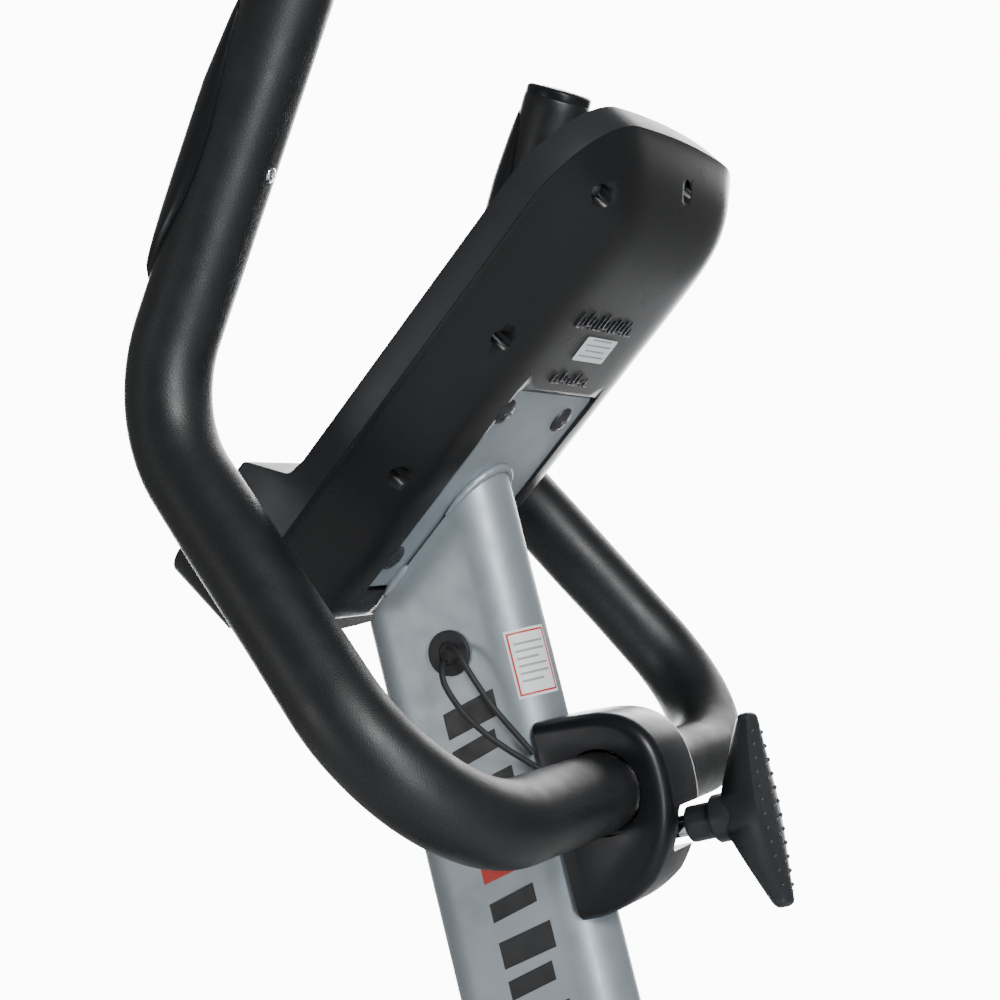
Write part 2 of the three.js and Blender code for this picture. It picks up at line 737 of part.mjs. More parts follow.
function addIdler() {
  const { x, z } = idlerCentre();
  const stud = 5;
  const roller = turned([
    [stud + GAP, -30], [IDLER_RADIUS, -30], [IDLER_RADIUS, -12], [stud + GAP, -12],
  ], 20);
  add(bike, "idler_pulley", roller.translate(x, 0, z), PLASTIC);
  const face = -BRACKET.inner + GAP;
  const arm = join(
    alongY(stadium(70, 24, x - 22, z), face, face + 5),
    rodY(stud, x, z, face + 4, -10, 16),
    rodY(stud + 3, x, z, face + 4, -32, 16),
  );
  add(bike, "idler_arm", arm, BLACK_PAINT);
}

function addBrake() {
  const { x, z } = FLYWHEEL;
  const arc = new THREE.Shape();
  const pivotAngle = Math.atan2(BRAKE_PIVOT.z - z, BRAKE_PIVOT.x - x);
  arc.absarc(x, z, FLYWHEEL.radius + 12, 50 * DEG, pivotAngle);
  arc.absarc(x, z, FLYWHEEL.radius + 3, pivotAngle, 50 * DEG, true);
  const hub = 10;
  const arm = join(
    alongY(arc, 2, 30, 10),
    rodY(hub, BRAKE_PIVOT.x, BRAKE_PIVOT.z, 4, 28, 20),
  );
  const brake = cut(arm, rodY(4 + GAP, BRAKE_PIVOT.x, BRAKE_PIVOT.z, 0, 40, 16));
  add(bike, "brake_magnet_arm", brake, STEEL);
  const low = BASE.top + GAP;
  const motor = join(
    block(292, 348, -22, 22, low, low + 34),
    rodZ(9, 312, 0, low + 33, low + 46, 16),
  );
  add(bike, "resistance_motor", motor, PLASTIC);
}

// ---------------------------------------------------------------- shroud

function shroudOutline() {
  const shape = new THREE.Shape();
  shape.moveTo(-175, SHROUD.bottom);
  shape.lineTo(506, SHROUD.bottom);
  shape.lineTo(416, 470);
  shape.bezierCurveTo(408, 500, 400, SHROUD_TOP, 380, SHROUD_TOP);
  shape.lineTo(305, SHROUD_TOP);
  shape.bezierCurveTo(240, SHROUD_TOP, 180, 458, 90, 452);
  shape.bezierCurveTo(0, 446, -90, 452, -170, 476);
  shape.bezierCurveTo(-230, 492, -284, 488, -282, 430);
  shape.bezierCurveTo(-276, 330, -240, 160, -175, SHROUD.bottom);
  return shape.extractPoints(7).shape.map((p) => [p.x, p.y]);
}

// Moves every point of a closed outline inward by one distance.
function inset(points, distance) {
  const count = points.length;
  const normal = (a, b) => {
    const length = Math.hypot(b[0] - a[0], b[1] - a[1]);
    return [(a[1] - b[1]) / length, (b[0] - a[0]) / length];
  };
  return points.map((point, i) => {
    const n0 = normal(points[(i + count - 1) % count], point);
    const n1 = normal(point, points[(i + 1) % count]);
    const scale = distance / (1 + n0[0] * n1[0] + n0[1] * n1[1]);
    return [point[0] + (n0[0] + n1[0]) * scale, point[1] + (n0[1] + n1[1]) * scale];
  });
}

function addShroud() {
  const { halfWidth, wall, bottom, axleHole, edge } = SHROUD;
  const outline = shroudOutline().filter(([x, z], i, all) => {
    const [px, pz] = all[(i + all.length - 1) % all.length];
    return Math.hypot(x - px, z - pz) > 1;
  });
  const outer = loftY(outline, 0.15, outline, halfWidth - edge, inset(outline, edge), halfWidth);
  const inner = inset(outline, wall);
  const cavity = solid(alongY(polygon(inner), -5, halfWidth - edge - wall));
  const domed = solid(alongY(polygon(inset(outline, edge + wall)), -5, halfWidth - wall));
  const shell = cut(
    solid(outer).subtract(cavity).subtract(domed),
    block(-168, 500, -5, halfWidth - edge, bottom - 5, bottom + 20),
    rodY(axleHole, CRANK.x, CRANK.z, 0, halfWidth + 5, 24),
    moved(alongZ(stadium(MAST.width + 2, MAST.depth + 2, MAST.axisV, 0), -800, 0), mastFrame, bike),
    moved(alongZ(stadium(SEAT.width + 2, SEAT.depth + 2), 0, 600), seatFrame, bike),
  );
  addPair(bike, "shroud", shell, PLASTIC);
}

// A slab between two outlines in x and z, with a slanted edge up to a third, smaller one.
function loftY(first, y0, second, y1, third, y2) {
  const low = geometryToY(loft(first, -y1, second, -y0));
  const high = geometryToY(loft(third, -y2, second, -y1));
  return geometryOf(solid(low).add(solid(high)));
}

function geometryToY(geometry) {
  return geometry.rotateX(Math.PI / 2);
}

// ---------------------------------------------------------------- handlebar

function barCorners(sign, fromY) {
  const place = ([x, y, z]) => new THREE.Vector3(x, sign * y, z);
  const start = new THREE.Vector3(0, sign * fromY, 0);
  return [start, place(BAR_CORNER), place(BAR_BEND), place(BAR_END)];
}

function addHandlebar() {
  const outward = filleted(barCorners(1, 0), BAR.fillet, 5);
  const inward = filleted(barCorners(-1, 0), BAR.fillet, 5).reverse();
  const facing = inward.map(({ point, tangent }) => ({ point, tangent: tangent.negate() }));
  const whole = [...facing.slice(0, -1), ...outward.slice(1)];
  const tube = alongRoute(hollow(circle(BAR.outer), circle(BAR.inner)), whole, 5);
  add(barFrame, "handlebar_tube", tube, STEEL);

  const sleeve = hollow(circle(BAR.foam), circle(BAR.foamInner));
  const foam = alongRoute(sleeve, filleted(barCorners(1, FOAM_START), BAR.fillet, 5), 8);
  addPair(barFrame, "grip_foam", foam, FOAM);

  const [, , bend, end] = barCorners(1, 0);
  const run = end.clone().sub(bend);
  const along = run.clone().normalize();
  const rearward = new THREE.Vector3(-1, 0, 0).addScaledVector(along, along.x).normalize();
  const sideways = along.clone().cross(rearward);
  const basis = new THREE.Matrix4().makeBasis(rearward, sideways, along);
  const place = (geometry, distance) => {
    const origin = bend.clone().addScaledVector(along, distance);
    return geometry.applyMatrix4(basis).translate(origin.x, origin.y, origin.z);
  };
  const saddle = new THREE.Shape();
  saddle.absarc(0, 0, SENSOR.outer, -SENSOR.spread, SENSOR.spread);
  saddle.absarc(0, 0, SENSOR.inner, SENSOR.spread, -SENSOR.spread, true);
  const sensor = place(alongZ(saddle, 0, SENSOR.to - SENSOR.from, 5), SENSOR.from);
  addPair(barFrame, "pulse_sensor", sensor, PLASTIC);

  const cap = turned([
    [0, -12], [9.5, -12], [9.5, GAP], [19, GAP], [19, 3], [16, 4.5], [8, 5], [0, 5],
  ], 16);
  cap.rotateX(Math.PI / 2);
  addPair(barFrame, "grip_cap", place(cap, run.length()), PLASTIC);
}

// ---------------------------------------------------------------- clamp, cover and knob

// The mast and the air round it, where the clamp and its cover lie against it.
function mastClearance() {
  const { width, depth, axisV } = MAST;
  return alongZ(stadium(width + 2 * GAP, depth + 2 * GAP, axisV, 0), -100, 100);
}

function addClamp() {
  const reach = FOAM_START - 0.6;
  const face = MAST.axisV + MAST.width / 2 + GAP;
  const ring = BAR.outer + 5;
  const body = join(
    rodY(ring, 0, 0, -reach, reach, 24),
    block(face, 0, -reach, reach, -ring, ring),
    block(face, 10, -reach, reach, SCREW_U - 10, 0),
  );
  const clamp = cut(
    body,
    rodY(BAR.outer + GAP, 0, 0, -reach - 1, reach + 1, 24),
    block(3, 30, -reach - 1, reach + 1, -13, -10.5),
    rodX(SCREW_RADIUS + GAP, 0, SCREW_U, face - 1, 30, 16),
    mastClearance(),
  );
  add(mastFrame, "bar_clamp", clamp, BLACK_PAINT);
}

// Side outline of the cover in v and u: flat along the mast, round at the top, front and foot.
function coverOutline(shrink) {
  const shape = new THREE.Shape();
  const front = 32 - shrink;
  const rear = COVER.rear - 10;
  const top = 37 - shrink;
  const foot = shrink - 53;
  shape.moveTo(rear, top);
  shape.lineTo(2, top - 2);
  shape.bezierCurveTo(22, top - 4, front, 22, front, 2);
  shape.bezierCurveTo(front, -16, front - 6, -30, 14 - shrink / 2, -42 + shrink / 2);
  shape.bezierCurveTo(4, -49 + shrink, -6, foot + 1, -16, foot);
  shape.lineTo(rear, foot);
  return shape;
}

function addClampCover() {
  const { halfWidth, wall, barHole, rear, bevel } = COVER;
  const shell = new THREE.ExtrudeGeometry(coverOutline(bevel), {
    depth: 2 * (halfWidth - bevel),
    bevelThickness: bevel,
    bevelSize: bevel,
    bevelSegments: 2,
    curveSegments: 6,
  });
  shell.rotateX(Math.PI / 2).translate(0, halfWidth - bevel, 0);
  const cavity = alongY(coverOutline(wall + 1), -halfWidth + wall, halfWidth - wall, 6);
  const cover = cut(
    solid(shell),
    cavity,
    mastClearance(),
    block(-60, rear, -60, 60, -100, 100),
    rodY(barHole, 0, 0, -50, 50, 24),
    block(10.5, 60, -8.8, 60, SCREW_U - 8.8, SCREW_U + 8.8),
  );
  add(mastFrame, "clamp_cover", cover, PLASTIC);
}

function addClampKnob() {
  const screw = turned([
    [0, -12], [SCREW_RADIUS, -12], [SCREW_RADIUS, 18], [4.7, 18], [4.7, 30], [8, 30],
    [8, 42], [10.5, 42], [10.5, 50], [0, 50],
  ], 16);
  screw.rotateZ(-Math.PI / 2);
  const { halfLength, halfWidth, tipWidth } = KNOB;
  const wing = new THREE.Shape();
  wing.moveTo(-halfLength, -tipWidth);
  wing.quadraticCurveTo(-halfLength / 2, -halfWidth, 0, -halfWidth);
  wing.quadraticCurveTo(halfLength / 2, -halfWidth, halfLength, -tipWidth);
  wing.lineTo(halfLength, tipWidth);
  wing.quadraticCurveTo(halfLength / 2, halfWidth, 0, halfWidth);
  wing.quadraticCurveTo(-halfLength / 2, halfWidth, -halfLength, tipWidth);
  const section = polygon([
    [66.5, -43], [65.5, 0], [66.5, 43], [62.5, 43], [57, 26], [49, 11],
    [49, -11], [57, -26], [62.5, -43],
  ]);
  const outline = alongZ(wing, -90, 0, 4).rotateY(-Math.PI / 2);
  const handle = solid(alongY(section, -30, 30)).intersect(solid(outline));
  const mesh = add(mastFrame, "clamp_knob", solid(screw).add(handle), PLASTIC);
  mesh.position.z = SCREW_U;
  mesh.rotation.x = KNOB.turn;
}

// ---------------------------------------------------------------- console

function addPlate() {
  const { halfWidth, low, high, thickness } = PLATE;
  const outline = rounded(low, high, -halfWidth, halfWidth, 3);
  add(consoleFrame, "console_plate", alongZ(outline, 0, thickness), SILVER);
}

function screwPlaces() {
  const places = [153, 80, 5].flatMap((s) => [[s, 68], [s, -68]]);
  return [...places, [168, 0]];
}

function addConsoleBack() {
  const { face, seam, wall, halfFlat, lowFlat, topFlat } = BACK;
  const { bottom, top, halfWidth, corner } = CONSOLE;
  const at = (offset) => ({
    rim: roundedPoints(bottom + offset, top - offset, halfWidth - offset, 12, corner - offset),
    flat: roundedPoints(lowFlat + offset, topFlat - offset, halfFlat - offset, 6, 24),
  });
  const outer = at(0);
  const inner = at(wall);
  const pocket = { x0: PLATE.low - 2, x1: PLATE.high + 1.5, half: PLATE.halfWidth + 1 };
  const floor = PLATE.thickness + GAP;
  const shell = solid(loft(outer.flat, face, outer.rim, seam))
    .subtract(solid(loft(inner.flat, face + wall, inner.rim, seam + 1)));
  const pocketWalls = block(
    pocket.x0 - wall, pocket.x1 + wall, -pocket.half - wall, pocket.half + wall,
    face + 1, floor + wall,
  );
  const bosses = screwPlaces().map(([s, y]) => rodZ(6.5, s, y, 8, seam - 0.5, 8));
  const holes = screwPlaces().map(([s, y]) => rodZ(4.3, s, y, -10, 16, 10));
  const body = bosses.map(solid).reduce((sum, part) => sum.add(part), shell);
  const mastEnd = stadium(MAST.width + 1.2, MAST.depth + 1.2, MAST.axisV, 0);
  const notch = solid(moved(alongZ(mastEnd, -50, 250), mastFrame, consoleFrame))
    .intersect(solid(block(-200, 200, -100, 100, -100, GAP)));
  const back = cut(
    body.add(solid(pocketWalls)).subtract(notch),
    block(pocket.x0, pocket.x1, -pocket.half, pocket.half, face - 5, floor),
    ...holes,
  );
  add(consoleFrame, "console_back", back, SHELL);
}

function addConsoleFront() {
  const { face, ridge, wall, panel, foot } = FRONT;
  const { bottom, top, halfWidth, corner } = CONSOLE;
  const seam = BACK.seam + GAP;
  const rim = (offset) => polygon(
    roundedPoints(foot - 1 + offset, top - offset, halfWidth - offset, 12, corner - offset),
  );
  const profile = polygon([
    [bottom, seam], [top, seam], [top, face], [-12, face], [-18.5, 40], [-30, ridge - 1],
    [-34, ridge], [foot + 6, ridge], [foot, ridge - 7],
  ]);
  const hollowProfile = polygon([
    [bottom + wall, seam - 1], [top, seam - 1], [top, face - panel], [-18, face - panel],
    [-26, face], [-34, ridge - 3], [foot + 8, ridge - 3], [foot + wall + 1, ridge - 8],
  ]);
  const outer = solid(alongZ(rim(0), seam, ridge + 5))
    .intersect(solid(alongY(profile, -halfWidth - 1, halfWidth + 1)));
  const inner = solid(alongZ(rim(wall), seam - 1, ridge + 5))
    .intersect(solid(alongY(hollowProfile, -halfWidth, halfWidth)));
  const lensRoom = roundedRect(LENS.low - GAP, LENS.high + GAP, LENS.halfWidth + GAP, 10);
  const { ledge } = LENS;
  const window = roundedRect(LENS.low + ledge, LENS.high - ledge, LENS.halfWidth - ledge, 8);
  const lensFloor = face - LENS.thickness - GAP;
  const holeRadius = BUTTON.radius + GAP;
  const buttonHoles = buttonRow().map((y) => {
    return rodZ(holeRadius, BUTTON.s, y, ridge - 10, ridge + 5, 16);
  });
  const front = cut(
    outer.subtract(inner),
    alongZ(lensRoom, lensFloor, face + 2),
    alongZ(window, face - 10, face + 2),
    ...buttonHoles,
  );
  add(consoleFrame, "console_front", front, SHELL);
  const lens = roundedRect(LENS.low, LENS.high, LENS.halfWidth, 10);
  add(consoleFrame, "display_lens", alongZ(lens, lensFloor + GAP, face), GLASS);
}

function roundedRect(low, high, half, radius) {
  return rounded(low, high, -half, half, radius);
}

function buttonRow() {
  const { count, pitch } = BUTTON;
  return Array.from({ length: count }, (_, i) => (i - (count - 1) / 2) * pitch);
}

function addButtons() {
  const { radius, flange, s } = BUTTON;
  const under = FRONT.ridge - 3 - GAP;
  const profile = [
    [0, under - 3], [flange, under - 3], [flange, under - 1], [radius, under - 1],
    [radius, FRONT.ridge + 1.2], [radius - 1.5, FRONT.ridge + 2], [0, FRONT.ridge + 2],
  ];
  buttonRow().forEach((y, i) => {
    const button = turned(profile, 10).rotateX(Math.PI / 2).translate(s, y, 0);
    add(consoleFrame, `console_button_${i + 1}`, button, GREY_PLASTIC);
  });
}

// ---------------------------------------------------------------- pulse leads

// Middle line of each lead, from the bar's centre line: out of the grommet, down in a loop,
// and forward beside the mast into the rear of the clamp cover.
const LEADS = [
  [
    [-74, -25, 55], [-73, -29.5, 52], [-70.5, -32, 46], [-66, -32.5, 39.5], [-60.5, -32, 33],
    [-54, -30.8, 27], [-47, -28.8, 21.5], [-40, -26, 16.5], [-34.5, -23.1, 12.7], [-29.2, -20.4, 9.1],
  ],
  [
    [-72, -25, 61.5], [-67.5, -29, 61], [-62.5, -31.2, 57.5], [-58, -31.6, 51.5],
    [-53.5, -30.9, 45], [-48.5, -29.8, 38], [-43, -27.8, 31], [-37.5, -25, 24],
    [-31.3, -21.2, 15.6],
  ],
];
const LEAD_RADIUS = 1.4;

function leadStations(points) {
  const curve = new THREE.CatmullRomCurve3(points.map(([x, y, z]) => new THREE.Vector3(x, y, z)));
  const count = 16;
  return Array.from({ length: count + 1 }, (_, i) => ({
    point: curve.getPointAt(i / count),
    tangent: curve.getTangentAt(i / count),
  }));
}

function addLeads() {
  LEADS.forEach((points, i) => {
    const lead = alongRoute(circle(LEAD_RADIUS), leadStations(points), 4);
    add(barFrame, `pulse_lead_${i + 1}`, lead, RUBBER);
  });
}

// ---------------------------------------------------------------- assembly

addFloorFrame();
addFeet();
addMast();
addGrommet();
addSeatTube();
addSeat();
addDriveBracket();
addCrankset();
addPedals();
addFlywheel();
addBelt();
addIdler();
addBrake();
addShroud();
addHandlebar();
addClamp();
addClampCover();
addClampKnob();
addPlate();
addConsoleBack();
addConsoleFront();
addButtons();
addLeads();

export default bike;
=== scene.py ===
import math

import bmesh
import bpy
import numpy as np
from mathutils import Matrix, Vector, noise


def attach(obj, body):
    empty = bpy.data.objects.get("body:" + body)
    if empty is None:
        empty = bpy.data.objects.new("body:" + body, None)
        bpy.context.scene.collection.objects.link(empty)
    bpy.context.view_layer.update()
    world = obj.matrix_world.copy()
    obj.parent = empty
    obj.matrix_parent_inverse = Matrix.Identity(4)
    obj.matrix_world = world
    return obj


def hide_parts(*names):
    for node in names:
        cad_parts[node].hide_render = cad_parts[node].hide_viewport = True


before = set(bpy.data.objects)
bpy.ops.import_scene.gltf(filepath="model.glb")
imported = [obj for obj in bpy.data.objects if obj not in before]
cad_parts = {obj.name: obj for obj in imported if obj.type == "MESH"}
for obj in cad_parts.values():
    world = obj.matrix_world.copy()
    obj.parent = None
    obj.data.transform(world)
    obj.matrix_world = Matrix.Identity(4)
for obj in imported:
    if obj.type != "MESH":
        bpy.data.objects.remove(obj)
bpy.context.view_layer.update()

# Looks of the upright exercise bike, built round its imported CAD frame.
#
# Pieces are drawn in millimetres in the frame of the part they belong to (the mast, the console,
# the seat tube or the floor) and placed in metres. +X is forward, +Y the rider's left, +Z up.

MM = 0.001
PI = math.pi


def placed(x, z, lean=0.0):
    """A part's own frame, in millimetres, leaning back by lean degrees at (x, z)."""
    turn = Matrix.Rotation(-math.radians(lean), 4, "Y")
    return Matrix.Translation((x * MM, 0, z * MM)) @ turn @ Matrix.Scale(MM, 4)


FLOOR = placed(0, 0)
BAR_X, BAR_Z = 250, 1060
BAR = placed(BAR_X, BAR_Z)
MAST = placed(BAR_X, BAR_Z, 15.8)
CONSOLE = placed(BAR_X - 70, BAR_Z + 130, 49)
SEAT = placed(-95, 106, 18)
SIDES = {"right": -1, "left": 1}

# ------------------------------------------------------------------ camera, light and floor

AZIMUTH, ELEVATION = math.radians(26.96), math.radians(0.3)
BACK_VIEW = Vector((
    math.sin(AZIMUTH) * math.cos(ELEVATION),
    -math.cos(AZIMUTH) * math.cos(ELEVATION),
    math.sin(ELEVATION),
))


def add_camera():
    data = bpy.data.cameras.new("camera")
    data.lens, data.sensor_width = 66.22, 36
    camera = bpy.data.objects.new("camera", data)
    bpy.context.scene.collection.objects.link(camera)
    camera.location = (0.5755, -0.75527, 1.19242)
    camera.rotation_mode = "QUATERNION"
    camera.rotation_quaternion = (-BACK_VIEW).to_track_quat("-Z", "Y")
    bpy.context.scene.camera = camera


def add_light(name, at, towards, size, power, tall=0.0, colour=(1, 1, 1)):
    data = bpy.data.lights.new(name, "AREA")
    data.shape, data.size, data.energy = "ELLIPSE", size, power
    data.size_y = tall or size
    data.color = colour
    light = bpy.data.objects.new(name, data)
    bpy.context.scene.collection.objects.link(light)
    light.location = at
    light.rotation_mode = "QUATERNION"
    light.rotation_quaternion = (Vector(towards) - Vector(at)).to_track_quat("-Z", "Y")


def add_world():
    """A soft grey room whose far wall, behind the bike, is lit white."""
    world = bpy.data.worlds.new("studio")
    bpy.context.scene.world = world
    world.use_nodes = True
    nodes, links = world.node_tree.nodes, world.node_tree.links
    background = nodes["Background"]
    background.inputs["Color"].default_value = (0.97, 0.985, 1.0, 1)
    direction = nodes.new("ShaderNodeTexCoord").outputs["Generated"]
    facing = nodes.new("ShaderNodeVectorMath")
    facing.operation = "DOT_PRODUCT"
    links.new(direction, facing.inputs[0])
    facing.inputs[1].default_value = -BACK_VIEW
    wall = nodes.new("ShaderNodeMapRange")
    wall.interpolation_type = "SMOOTHSTEP"
    wall.inputs["From Min"].default_value = 0.84
    wall.inputs["From Max"].default_value = 0.94
    wall.inputs["To Min"].default_value = 0.24
    wall.inputs["To Max"].default_value = 12.0
    links.new(facing.outputs["Value"], wall.inputs["Value"])
    links.new(wall.outputs["Result"], background.inputs["Strength"])


def add_stage():
    add_world()
    top = (0.2, 0, 1.1)
    add_light("key", (2.2, -1.5, 2.7), top, 0.75, 63)
    add_light("fill", (-1.5, -2.7, 0.86), (0.2, 0, 1.0), 1.0, 13)
    add_light("strip", (2.5, -1.75, 1.25), top, 0.3, 42, 2.0, (0.84, 0.93, 1))
    add_light("rim", (0.2, 2.6, 2.4), top, 1.6, 26)
    points, faces = skin([[(x, y, z) for x, y in circle(3300, steps=96)] for z in (-30, 0)])
    floor = bare("floor", (points, faces), FLOOR)
    floor.data.materials.append(finish("floor_paint", (0.6, 0.6, 0.6), 0.7, mottle=0.01))


# ------------------------------------------------------------------ finishes


def finish(name, colour, rough, metal=0.0, mottle=0.12, patch=45, grain=0.0, fine=1500,
           uneven=0.06, coat=0.0, specular=0.5, cells=False):
    """A surface with cloudy colour, uneven gloss and a fine grain.

    patch and fine are how many clouds and grains there are to a metre; grain is the relief
    in millimetres.
    """
    material = bpy.data.materials.new(name)
    material.use_nodes = True
    nodes, links = material.node_tree.nodes, material.node_tree.links
    shader = nodes["Principled BSDF"]
    shader.inputs["Metallic"].default_value = metal
    shader.inputs["Coat Weight"].default_value = coat
    shader.inputs["Coat Roughness"].default_value = 0.12
    shader.inputs["Specular IOR Level"].default_value = specular
    place = nodes.new("ShaderNodeTexCoord").outputs["Object"]

    def clouds(scale, detail):
        texture = nodes.new("ShaderNodeTexNoise")
        texture.inputs["Scale"].default_value = scale
        texture.inputs["Detail"].default_value = detail
        links.new(place, texture.inputs["Vector"])
        return texture.outputs["Fac"]

    ramp = nodes.new("ShaderNodeValToRGB")
    for element, at, share in zip(ramp.color_ramp.elements, (0.3, 0.7), (1 - mottle, 1 + mottle)):
        element.position = at
        element.color = (*[min(1, c * share) for c in colour], 1)
    links.new(clouds(patch, 5), ramp.inputs["Fac"])
    links.new(ramp.outputs["Color"], shader.inputs["Base Color"])
    gloss = nodes.new("ShaderNodeMapRange")
    gloss.inputs["From Min"].default_value = 0.3
    gloss.inputs["From Max"].default_value = 0.7
    gloss.inputs["To Min"].default_value = max(0.02, rough - uneven)
    gloss.inputs["To Max"].default_value = min(1, rough + uneven)
    links.new(clouds(patch * 3.1, 6), gloss.inputs["Value"])
    links.new(gloss.outputs["Result"], shader.inputs["Roughness"])
    if grain:
        bump = nodes.new("ShaderNodeBump")
        bump.inputs["Strength"].default_value = 1
        bump.inputs["Distance"].default_value = grain * MM
        if cells:
            texture = nodes.new("ShaderNodeTexVoronoi")
            texture.inputs["Scale"].default_value = fine
            links.new(place, texture.inputs["Vector"])
            links.new(texture.outputs["Distance"], bump.inputs["Height"])
        else:
            links.new(clouds(fine, 3), bump.inputs["Height"])
        links.new(bump.outputs["Normal"], shader.inputs["Normal"])
    return material


def lens_finish():
    material = finish("smoked_lens", (0.05, 0.06, 0.07), 0.06, mottle=0.05, uneven=0.02)
    shader = material.node_tree.nodes["Principled BSDF"]
    shader.inputs["Transmission Weight"].default_value = 0.85
    shader.inputs["IOR"].default_value = 1.46
    shader.inputs["Alpha"].default_value = 0.55
    return material


# Name of each look: the record's material slot and the finish.
LOOKS = {
    "silver": ("silver_paint", finish(
        "silver_paint", (0.315, 0.347, 0.372), 0.44, 0.5, 0.05, 30, 0.012, 2600, coat=0.12)),
    "black_steel": ("black_paint", finish(
        "black_powder_coat", (0.022, 0.022, 0.025), 0.42, 0.0, 0.1, 60, 0.03, 1400)),
    "chrome": ("chrome", finish(
        "chrome_plate", (0.8, 0.81, 0.82), 0.09, 1.0, 0.03, 25, uneven=0.04)),
    "steel": ("steel", finish(
        "machined_steel", (0.46, 0.47, 0.48), 0.3, 1.0, 0.08, 90, 0.01, 1800)),
    "contact": ("steel", finish(
        "contact_plate", (0.3, 0.3, 0.33), 0.28, 1.0, 0.06, 60, 0.005, 2400)),
    "iron": ("iron", finish("cast_iron", (0.09, 0.093, 0.1), 0.5, 0.7, 0.15, 70, 0.08, 700)),
    "foam": ("foam", finish(
        "grip_foam", (0.0068, 0.0072, 0.008), 0.44, 0.0, 0.22, 26, 0.05, 1700, 0.06,
        specular=0.5, cells=True)),
    "plastic": ("black_plastic", finish(
        "black_plastic", (0.0058, 0.0063, 0.0078), 0.34, 0.0, 0.15, 40, 0.006, 1300, 0.04,
        specular=0.32)),
    "shell": ("shell_plastic", finish(
        "shell_plastic", (0.0088, 0.0088, 0.0093), 0.3, 0.0, 0.12, 22, 0.006, 1500, 0.03,
        specular=0.28)),
    "shell_side": ("shell_plastic", finish(
        "satin_plastic", (0.0175, 0.018, 0.0205), 0.4, 0.0, 0.12, 22, 0.006, 1500, 0.03,
        specular=0.35)),
    # The knob is black plastic; this lighter, bluer copy is painted light standing in for the
    # cool light on its face.
    "handle": ("black_plastic", finish(
        "handle_plastic_painted_light", (0.019, 0.0205, 0.022), 0.4, 0.0, 0.15, 60, 0.008, 1300, 0.05)),
    "gloss": ("black_plastic", finish(
        "gloss_trim", (0.012, 0.012, 0.014), 0.2, 0.0, 0.1, 40, 0.01, 900, 0.05, coat=0.4)),
    "grey": ("grey_plastic", finish(
        "grey_plastic", (0.30, 0.31, 0.32), 0.42, 0.0, 0.06, 60, 0.03, 1500)),
    "rubber": ("rubber", finish(
        "soft_rubber", (0.014, 0.014, 0.015), 0.62, 0.0, 0.2, 80, 0.05, 1300)),
    "skin": ("seat_skin", finish(
        "seat_skin", (0.014, 0.014, 0.016), 0.48, 0.0, 0.15, 30, 0.1, 520, 0.06, cells=True)),
    "lens": ("lens", lens_finish()),
    "screen": ("shell_plastic", finish("lcd_glass", (0.23, 0.27, 0.22), 0.3, 0.0, 0.05, 30)),
    "ink": ("black_plastic", finish("printed_black", (0.012, 0.012, 0.013), 0.45, mottle=0.2)),
    "red": ("black_plastic", finish("printed_red", (0.55, 0.03, 0.02), 0.45, mottle=0.1)),
    "paper": ("grey_plastic", finish("label_film", (0.80, 0.80, 0.79), 0.4, mottle=0.03)),
    "print": ("grey_plastic", finish("label_print", (0.32, 0.32, 0.33), 0.5, mottle=0.1)),
    "amber": ("grey_plastic", finish("reflector", (0.75, 0.25, 0.03), 0.15, coat=0.6)),
}

# ------------------------------------------------------------------ outlines


def arc(cx, cy, radius, start, end, steps):
    """Points on a circle, from one angle in degrees to another."""
    angles = np.radians(np.linspace(start, end, steps + 1))
    return [(cx + radius * math.cos(a), cy + radius * math.sin(a)) for a in angles]


def circle(radius, cx=0.0, cy=0.0, steps=48):
    return arc(cx, cy, radius, 0, 360 * (1 - 1 / steps), steps - 1)


def stadium(width, depth, cx=0.0, cy=0.0, steps=20):
    """A flat oval, its long side along the first axis."""
    reach = (width - depth) / 2
    return (arc(cx + reach, cy, depth / 2, -90, 90, steps)
            + arc(cx - reach, cy, depth / 2, 90, 270, steps))


def box_outline(x0, x1, half, low_radius, high_radius=None, steps=10, middle=0.0):
    """A rectangle with its own corner radius at the low and high ends of the first axis."""
    high_radius = low_radius if high_radius is None else high_radius
    a, b = low_radius, high_radius
    points = (arc(x1 - b, half - b, b, 0, 90, steps) + arc(x0 + a, half - a, a, 90, 180, steps)
              + arc(x0 + a, a - half, a, 180, 270, steps)
              + arc(x1 - b, b - half, b, 270, 360, steps))
    return [(x, y + middle) for x, y in points]


def bezier(a, b, c, d, steps=12):
    """Points of a cubic curve, without its last one."""
    t = np.linspace(0, 1, steps, endpoint=False)[:, None]
    a, b, c, d = map(np.array, (a, b, c, d))
    curve = (1 - t) ** 3 * a + 3 * (1 - t) ** 2 * t * b + 3 * (1 - t) * t ** 2 * c + t ** 3 * d
    return [tuple(p) for p in curve]


def softened(points, radius, steps=4, closed=True):
    """A polyline with its corners rounded. radius is one number, or one for each point."""
    count = len(points)
    radii = radius if hasattr(radius, "__len__") else [radius] * count
    out = []
    for i, corner in enumerate(points):
        if not closed and i in (0, count - 1) or radii[i] == 0:
            out.append(tuple(corner))
            continue
        before, here, after = (np.array(points[(i + k) % count], float) for k in (-1, 0, 1))
        u, v = before - here, after - here
        lu, lv = np.linalg.norm(u), np.linalg.norm(v)
        u, v = u / lu, v / lv
        half = math.acos(max(-1, min(1, float(u @ v)))) / 2
        reach = min(radii[i] / max(math.tan(half), 1e-3), 0.49 * lu, 0.49 * lv)
        a, b = here + u * reach, here + v * reach
        for k in range(steps + 1):
            t = k / steps
            out.append(tuple((1 - t) ** 2 * a + 2 * (1 - t) * t * here + t ** 2 * b))
    return out


def signed_area(points):
    x, y = np.array(points).T
    return 0.5 * float(np.sum(x * np.roll(y, -1) - y * np.roll(x, -1)))


